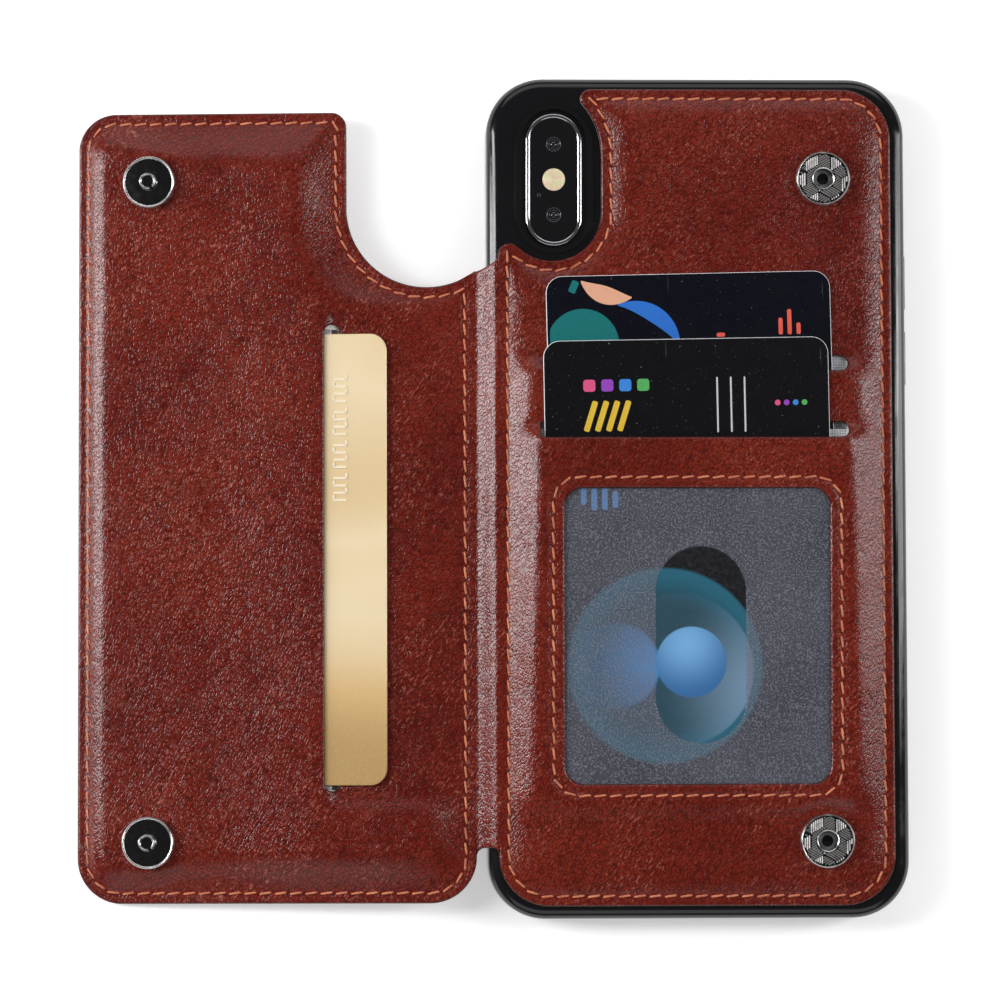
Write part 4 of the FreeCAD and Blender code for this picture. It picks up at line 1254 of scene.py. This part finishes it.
def clipped_circle(x, y, radius, left):
    """Disc cut off at a line on its left."""
    points = np.array(circle((x, y), radius))
    points[:, 0] = np.maximum(points[:, 0], left)
    return points


def card_place(card):
    turn = math.radians(card["turn"])
    return (shifted(CASE_PLACE, card["x"] + CARD_L / 2 * math.sin(turn), card["y"], card["z"])
            @ Matrix.Rotation(math.atan(card["rise"]), 4, "X") @ Matrix.Rotation(turn, 4, "Z"))


def ink(name, colour, scuffs=0.25):
    return print_material("ink_" + name, colour, scuffs, 0.3)


def make_card(name, body, material, paper, place, shapes):
    """A wallet card with its raised prints, given as (name, colour, loops)."""
    outline = rounded((-CARD_W / 2, 0, CARD_W / 2, CARD_L), CARD_R)
    finish_piece(slab(name, outline, 0, CARD_T, [material, paper], place), body, "card_print", body)
    for kind, colour, loops in shapes:
        prints(f"{name}_{kind}", loops, CARD_T, ink(kind, colour), place, body)


def make_upper_card(paper):
    navy = print_material("navy_print", (0.0028, 0.0032, 0.0075), 0.8, 0.24)
    y = CARD_L
    make_card("upper_card", "card_upper", navy, paper, card_place(CARD_A), (
        ("teal", (0.012, 0.17, 0.17), [clipped_circle(-20.2, y - 13.2, 6.9, -26.4),
                                       bar(-21.7, y - 2.1, 1.4, 2.4, -24)]),
        ("peach", (0.8, 0.42, 0.27), [ring_arc(-12.0, y + 7.5, 13.6, 10.2, 226, 276)]),
        ("blue", (0.03, 0.17, 0.6), [ring_arc(-13.0, y - 17.6, 13.5, 10.3, 20, 92)]),
        ("coral", (0.8, 0.12, 0.08), [bar(17.4, y - 10.4, 0.8, 3.2), bar(19.1, y - 9.6, 0.8, 4.8),
                                      bar(20.8, y - 10.9, 0.8, 2.2), bar(6.0, y - 11.8, 1.6, 0.8)])))


def make_lower_card(paper):
    charcoal = print_material("charcoal_print", (0.0042, 0.0042, 0.0055), 1.2, 0.26)
    y = CARD_L
    swatches = (("pink", (0.72, 0.1, 0.24)), ("violet", (0.3, 0.07, 0.5)), ("sky", (0.05, 0.25, 0.7)),
                ("green", (0.1, 0.42, 0.12)))
    shapes = [(name, colour, [bar(-18.4 + 3.4 * i, y - 8.6, 2.3, 2.3, 0, 0.5),
                              bar(17.2 + 1.7 * i, y - 12.4, 1.1, 1.1, 0, 0.5)])
              for i, (name, colour) in enumerate(swatches)]
    shapes.append(("yellow", (0.75, 0.5, 0.05), [bar(-18.2 + 2.1 * i, y - 14.4, 1.1, 6.0, -18)
                                                  for i in range(4)]))
    shapes.append(("white", (0.62, 0.62, 0.64), [bar(5.8 + 2.6 * i, y - 12.6, 0.32, 10.5) for i in range(3)]))
    make_card("lower_card", "card_lower", charcoal, paper, card_place(CARD_B), shapes)


def make_window_card(paper):
    """Insert behind the window, shorter and thinner than a card."""
    low, high = box_mm("window_id_card")
    width, length = high.x - low.x, high.y - low.y
    place = (shifted(WORLD, (low.x + high.x) / 2, low.y, low.z)
             @ Matrix.Rotation(math.atan(CARD_B["rise"]), 4, "X"))
    outline = rounded((-width / 2, 0, width / 2, length), CARD_R)
    card = slab("window_card", outline, 0.005, 0.295, [bubble_print_material(), paper], place, 0.05)
    finish_piece(card, "window_id_card", "card_print", "window_id_card")
    lines = [bar(-21.5 + 2.0 * i, length - 8.2 - 0.6 * (i % 2), 1.1, 3.2 + (i % 3), 0, 0.4) for i in range(4)]
    blue = ink("pale_blue", (0.1, 0.28, 0.6), 0.2)
    prints("window_card_lines", lines, 0.295, blue, place, "window_id_card", 0.01)


def make_flap_card(gold):
    x0, y0 = FLAP_CARD
    height = FLAP_CARD_Z + (x0 - FLAP_CARD_REF) * FLAP_CARD_RISE
    place = shifted(FLAP_PLACE, x0, y0, height) @ Matrix.Rotation(-math.atan(FLAP_CARD_RISE), 4, "Y")
    outline = rounded((0, 0, CARD_W, CARD_L), CARD_R)
    card = slab("gold_card", outline, 0, CARD_T, [gold], place, 0.12, (0, 0, 0))
    finish_piece(card, "flap_card", "card_gold", "flap_card")
    marks = []
    for i in range(16):
        y = 54.0 + 1.38 * i + 0.75 * (i // 4)
        marks += [bar(45.1, y, 2.6, 0.45, 0, 0.2), bar(43.9 + 2.4 * (i % 2), y + 0.45, 0.45, 1.0, 0, 0.2)]
    raised = ink("pale_gold", (0.95, 0.84, 0.62), 0.3)
    prints("gold_card_embossing", marks, CARD_T, raised, place, "flap_card", 0.16, "card_gold")


def make_film(film):
    """Clear film with a thumb hole, just above the window card."""
    low, high = box_mm("window_film")
    box = (low.x - CASE_X, low.y, high.x - CASE_X, high.y)
    hole = resample(stadium_path(0.25, -28.3, 17.0, 37.0).tolist(), SPACING)
    outline = resample(rounded(box, 4.0), 0.9)

    def upper(points, distance):
        return card_level(CARD_B, points[:, 1]) + FILM_TOP

    def under(points, distance, top):
        return top - 0.1

    sheet = thick_sheet("clear_window", outline, [hole], upper, under, [film], CASE_PLACE)
    finish_piece(baked(sheet), "case", "clear_film", "window_film")


# ---------- scene ----------

def repaint_rest(lining, board, steel, metal, black, cover):
    """Materials of the CAD nodes that are shown as they are."""
    snap_parts = [part + place for place in ("upper", "lower")
                  for part in ("socket_magnet_", "socket_washer_", "stud_washer_")]
    groups = ((lining, ("back_lining", "pocket_liner", "slot_liner", "window_liner", "flap_pocket_liner")),
              (board, ("flap_board",)), (steel, snap_parts), (metal, ("phone_frame",)),
              (black, ("phone_screen", "phone_back_glass")), (cover, ("camera_cover_glass",)))
    for material, names in groups:
        for name in names:
            dress(frame["nodes"][name].data, material, 30)


def make_keys(material):
    for name in ("power_key_cover", "volume_up_key_cover", "volume_down_key_cover"):
        key = softened(name, 0.2, material)
        finish_piece(key, name, "shell_black", name)


def make_floor():
    size = 2.0
    steps = 9
    verts = [(size * (i / (steps - 1) - 0.5) / MM, size * (j / (steps - 1) - 0.5) / MM, 0)
             for j in range(steps) for i in range(steps)]
    faces = [(j * steps + i, j * steps + i + 1, (j + 1) * steps + i + 1, (j + 1) * steps + i)
             for j in range(steps - 1) for i in range(steps - 1)]
    floor = new_object("floor", verts, faces, [floor_material()])
    floor.location.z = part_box("shell")[0].z - 0.0001


def add_light(name, place, target, size, watts):
    data = bpy.data.lights.new(name, "AREA")
    data.shape = "RECTANGLE"
    data.size, data.size_y = size
    data.energy = watts
    data.color = (0.985, 0.98, 1.0)
    lamp = bpy.data.objects.new(name, data)
    bpy.context.scene.collection.objects.link(lamp)
    lamp.location = place
    lamp.rotation_euler = (Vector(target) - Vector(place)).to_track_quat("-Z", "Y").to_euler()


def make_lights():
    world = bpy.data.worlds.new("studio")
    world.use_nodes = True
    world.node_tree.nodes["Background"].inputs["Color"].default_value = (1, 1, 1, 1)
    world.node_tree.nodes["Background"].inputs["Strength"].default_value = 0.1
    bpy.context.scene.world = world
    middle = (0, 0, 0)
    for light in (("left_strip", (-0.64, 0.2, 0.6), (-0.04, 0, 0), (0.06, 0.6), 1.5),
                  ("right_strip", (0.6, 0.1, 0.66), (0.04, 0, 0), (0.06, 0.6), 0.8),
                  ("left_softbox", (-0.86, 0.1, 0.42), middle, (0.2, 0.9), 7.4),
                  ("right_softbox", (0.86, 0.1, 0.42), middle, (0.24, 0.9), 3.7),
                  ("far_softbox", (0.0, 1.0, 0.7), middle, (1.6, 0.7), 3.9),
                  ("near_softbox", (0.0, -1.05, 0.7), middle, (1.6, 0.7), 3.2)):
        add_light(*light)


def make_camera_view():
    """Camera above the part, where it looks almost straight down."""
    data = bpy.data.cameras.new("camera")
    data.sensor_width, data.lens = 36, 169.65
    camera = bpy.data.objects.new("camera", data)
    bpy.context.scene.collection.objects.link(camera)
    camera.matrix_world = shifted(CASE_PLACE, -68.9, -56.7, 900)
    for angle, axis in ((0.0628, "X"), (-0.0352, "Y"), (-0.001, "Z")):
        camera.matrix_world = camera.matrix_world @ Matrix.Rotation(angle, 4, axis)
    bpy.context.scene.camera = camera


def main():
    make_camera_view()
    make_lights()
    make_floor()
    bpy.context.scene.view_settings.view_transform = "Standard"
    leather, shell = leather_material(), shell_material()
    nickel = metal_material("nickel", (0.66, 0.65, 0.63), 0.28, 0.7)
    paper = print_material("card_core", (0.86, 0.86, 0.87), 0.3, 0.5)
    black_glass = glass_material("black_glass", (0.004, 0.004, 0.005))
    make_panel(leather)
    make_flap(leather)
    make_spine(leather)
    make_foam(foam_material())
    make_stitching(thread_material(), needle_hole_material())
    finish_piece(softened("shell", 0.22, shell), "case", "shell_black", "shell")
    make_keys(shell)
    make_camera(metal_material("chrome", (0.5, 0.5, 0.52), 0.1),
                metal_material("lens_rim", (0.1, 0.1, 0.11), 0.5), black_glass,
                glass_material("lens_dome", (0.012, 0.014, 0.03), 0.03), flash_material())
    # Sockets get a lit and a shaded copy of the nickel for the two bar directions, and nickel painted near
    # black as shade.
    make_sockets(nickel, metal_material("upright_lit_nickel", (0.95, 0.92, 0.9), 0.6),
                 metal_material("slanted_shaded_nickel", (0.32, 0.31, 0.3), 0.55),
                 metal_material("engraved_shade_nickel", (0.03, 0.03, 0.032), 0.3))
    make_studs(nickel, metal_material("dark_nickel", (0.1, 0.1, 0.105), 0.12, 0.6))
    make_upper_card(paper)
    make_lower_card(paper)
    make_window_card(paper)
    make_flap_card(gold_material())
    make_film(film_material())
    repaint_rest(lining_material(), board_material(), metal_material("steel", (0.35, 0.35, 0.36), 0.35),
                 metal_material("phone_metal", (0.5, 0.5, 0.52), 0.3), black_glass,
                 glass_material("cover_glass", (0.003, 0.003, 0.004), 0.03))


main()
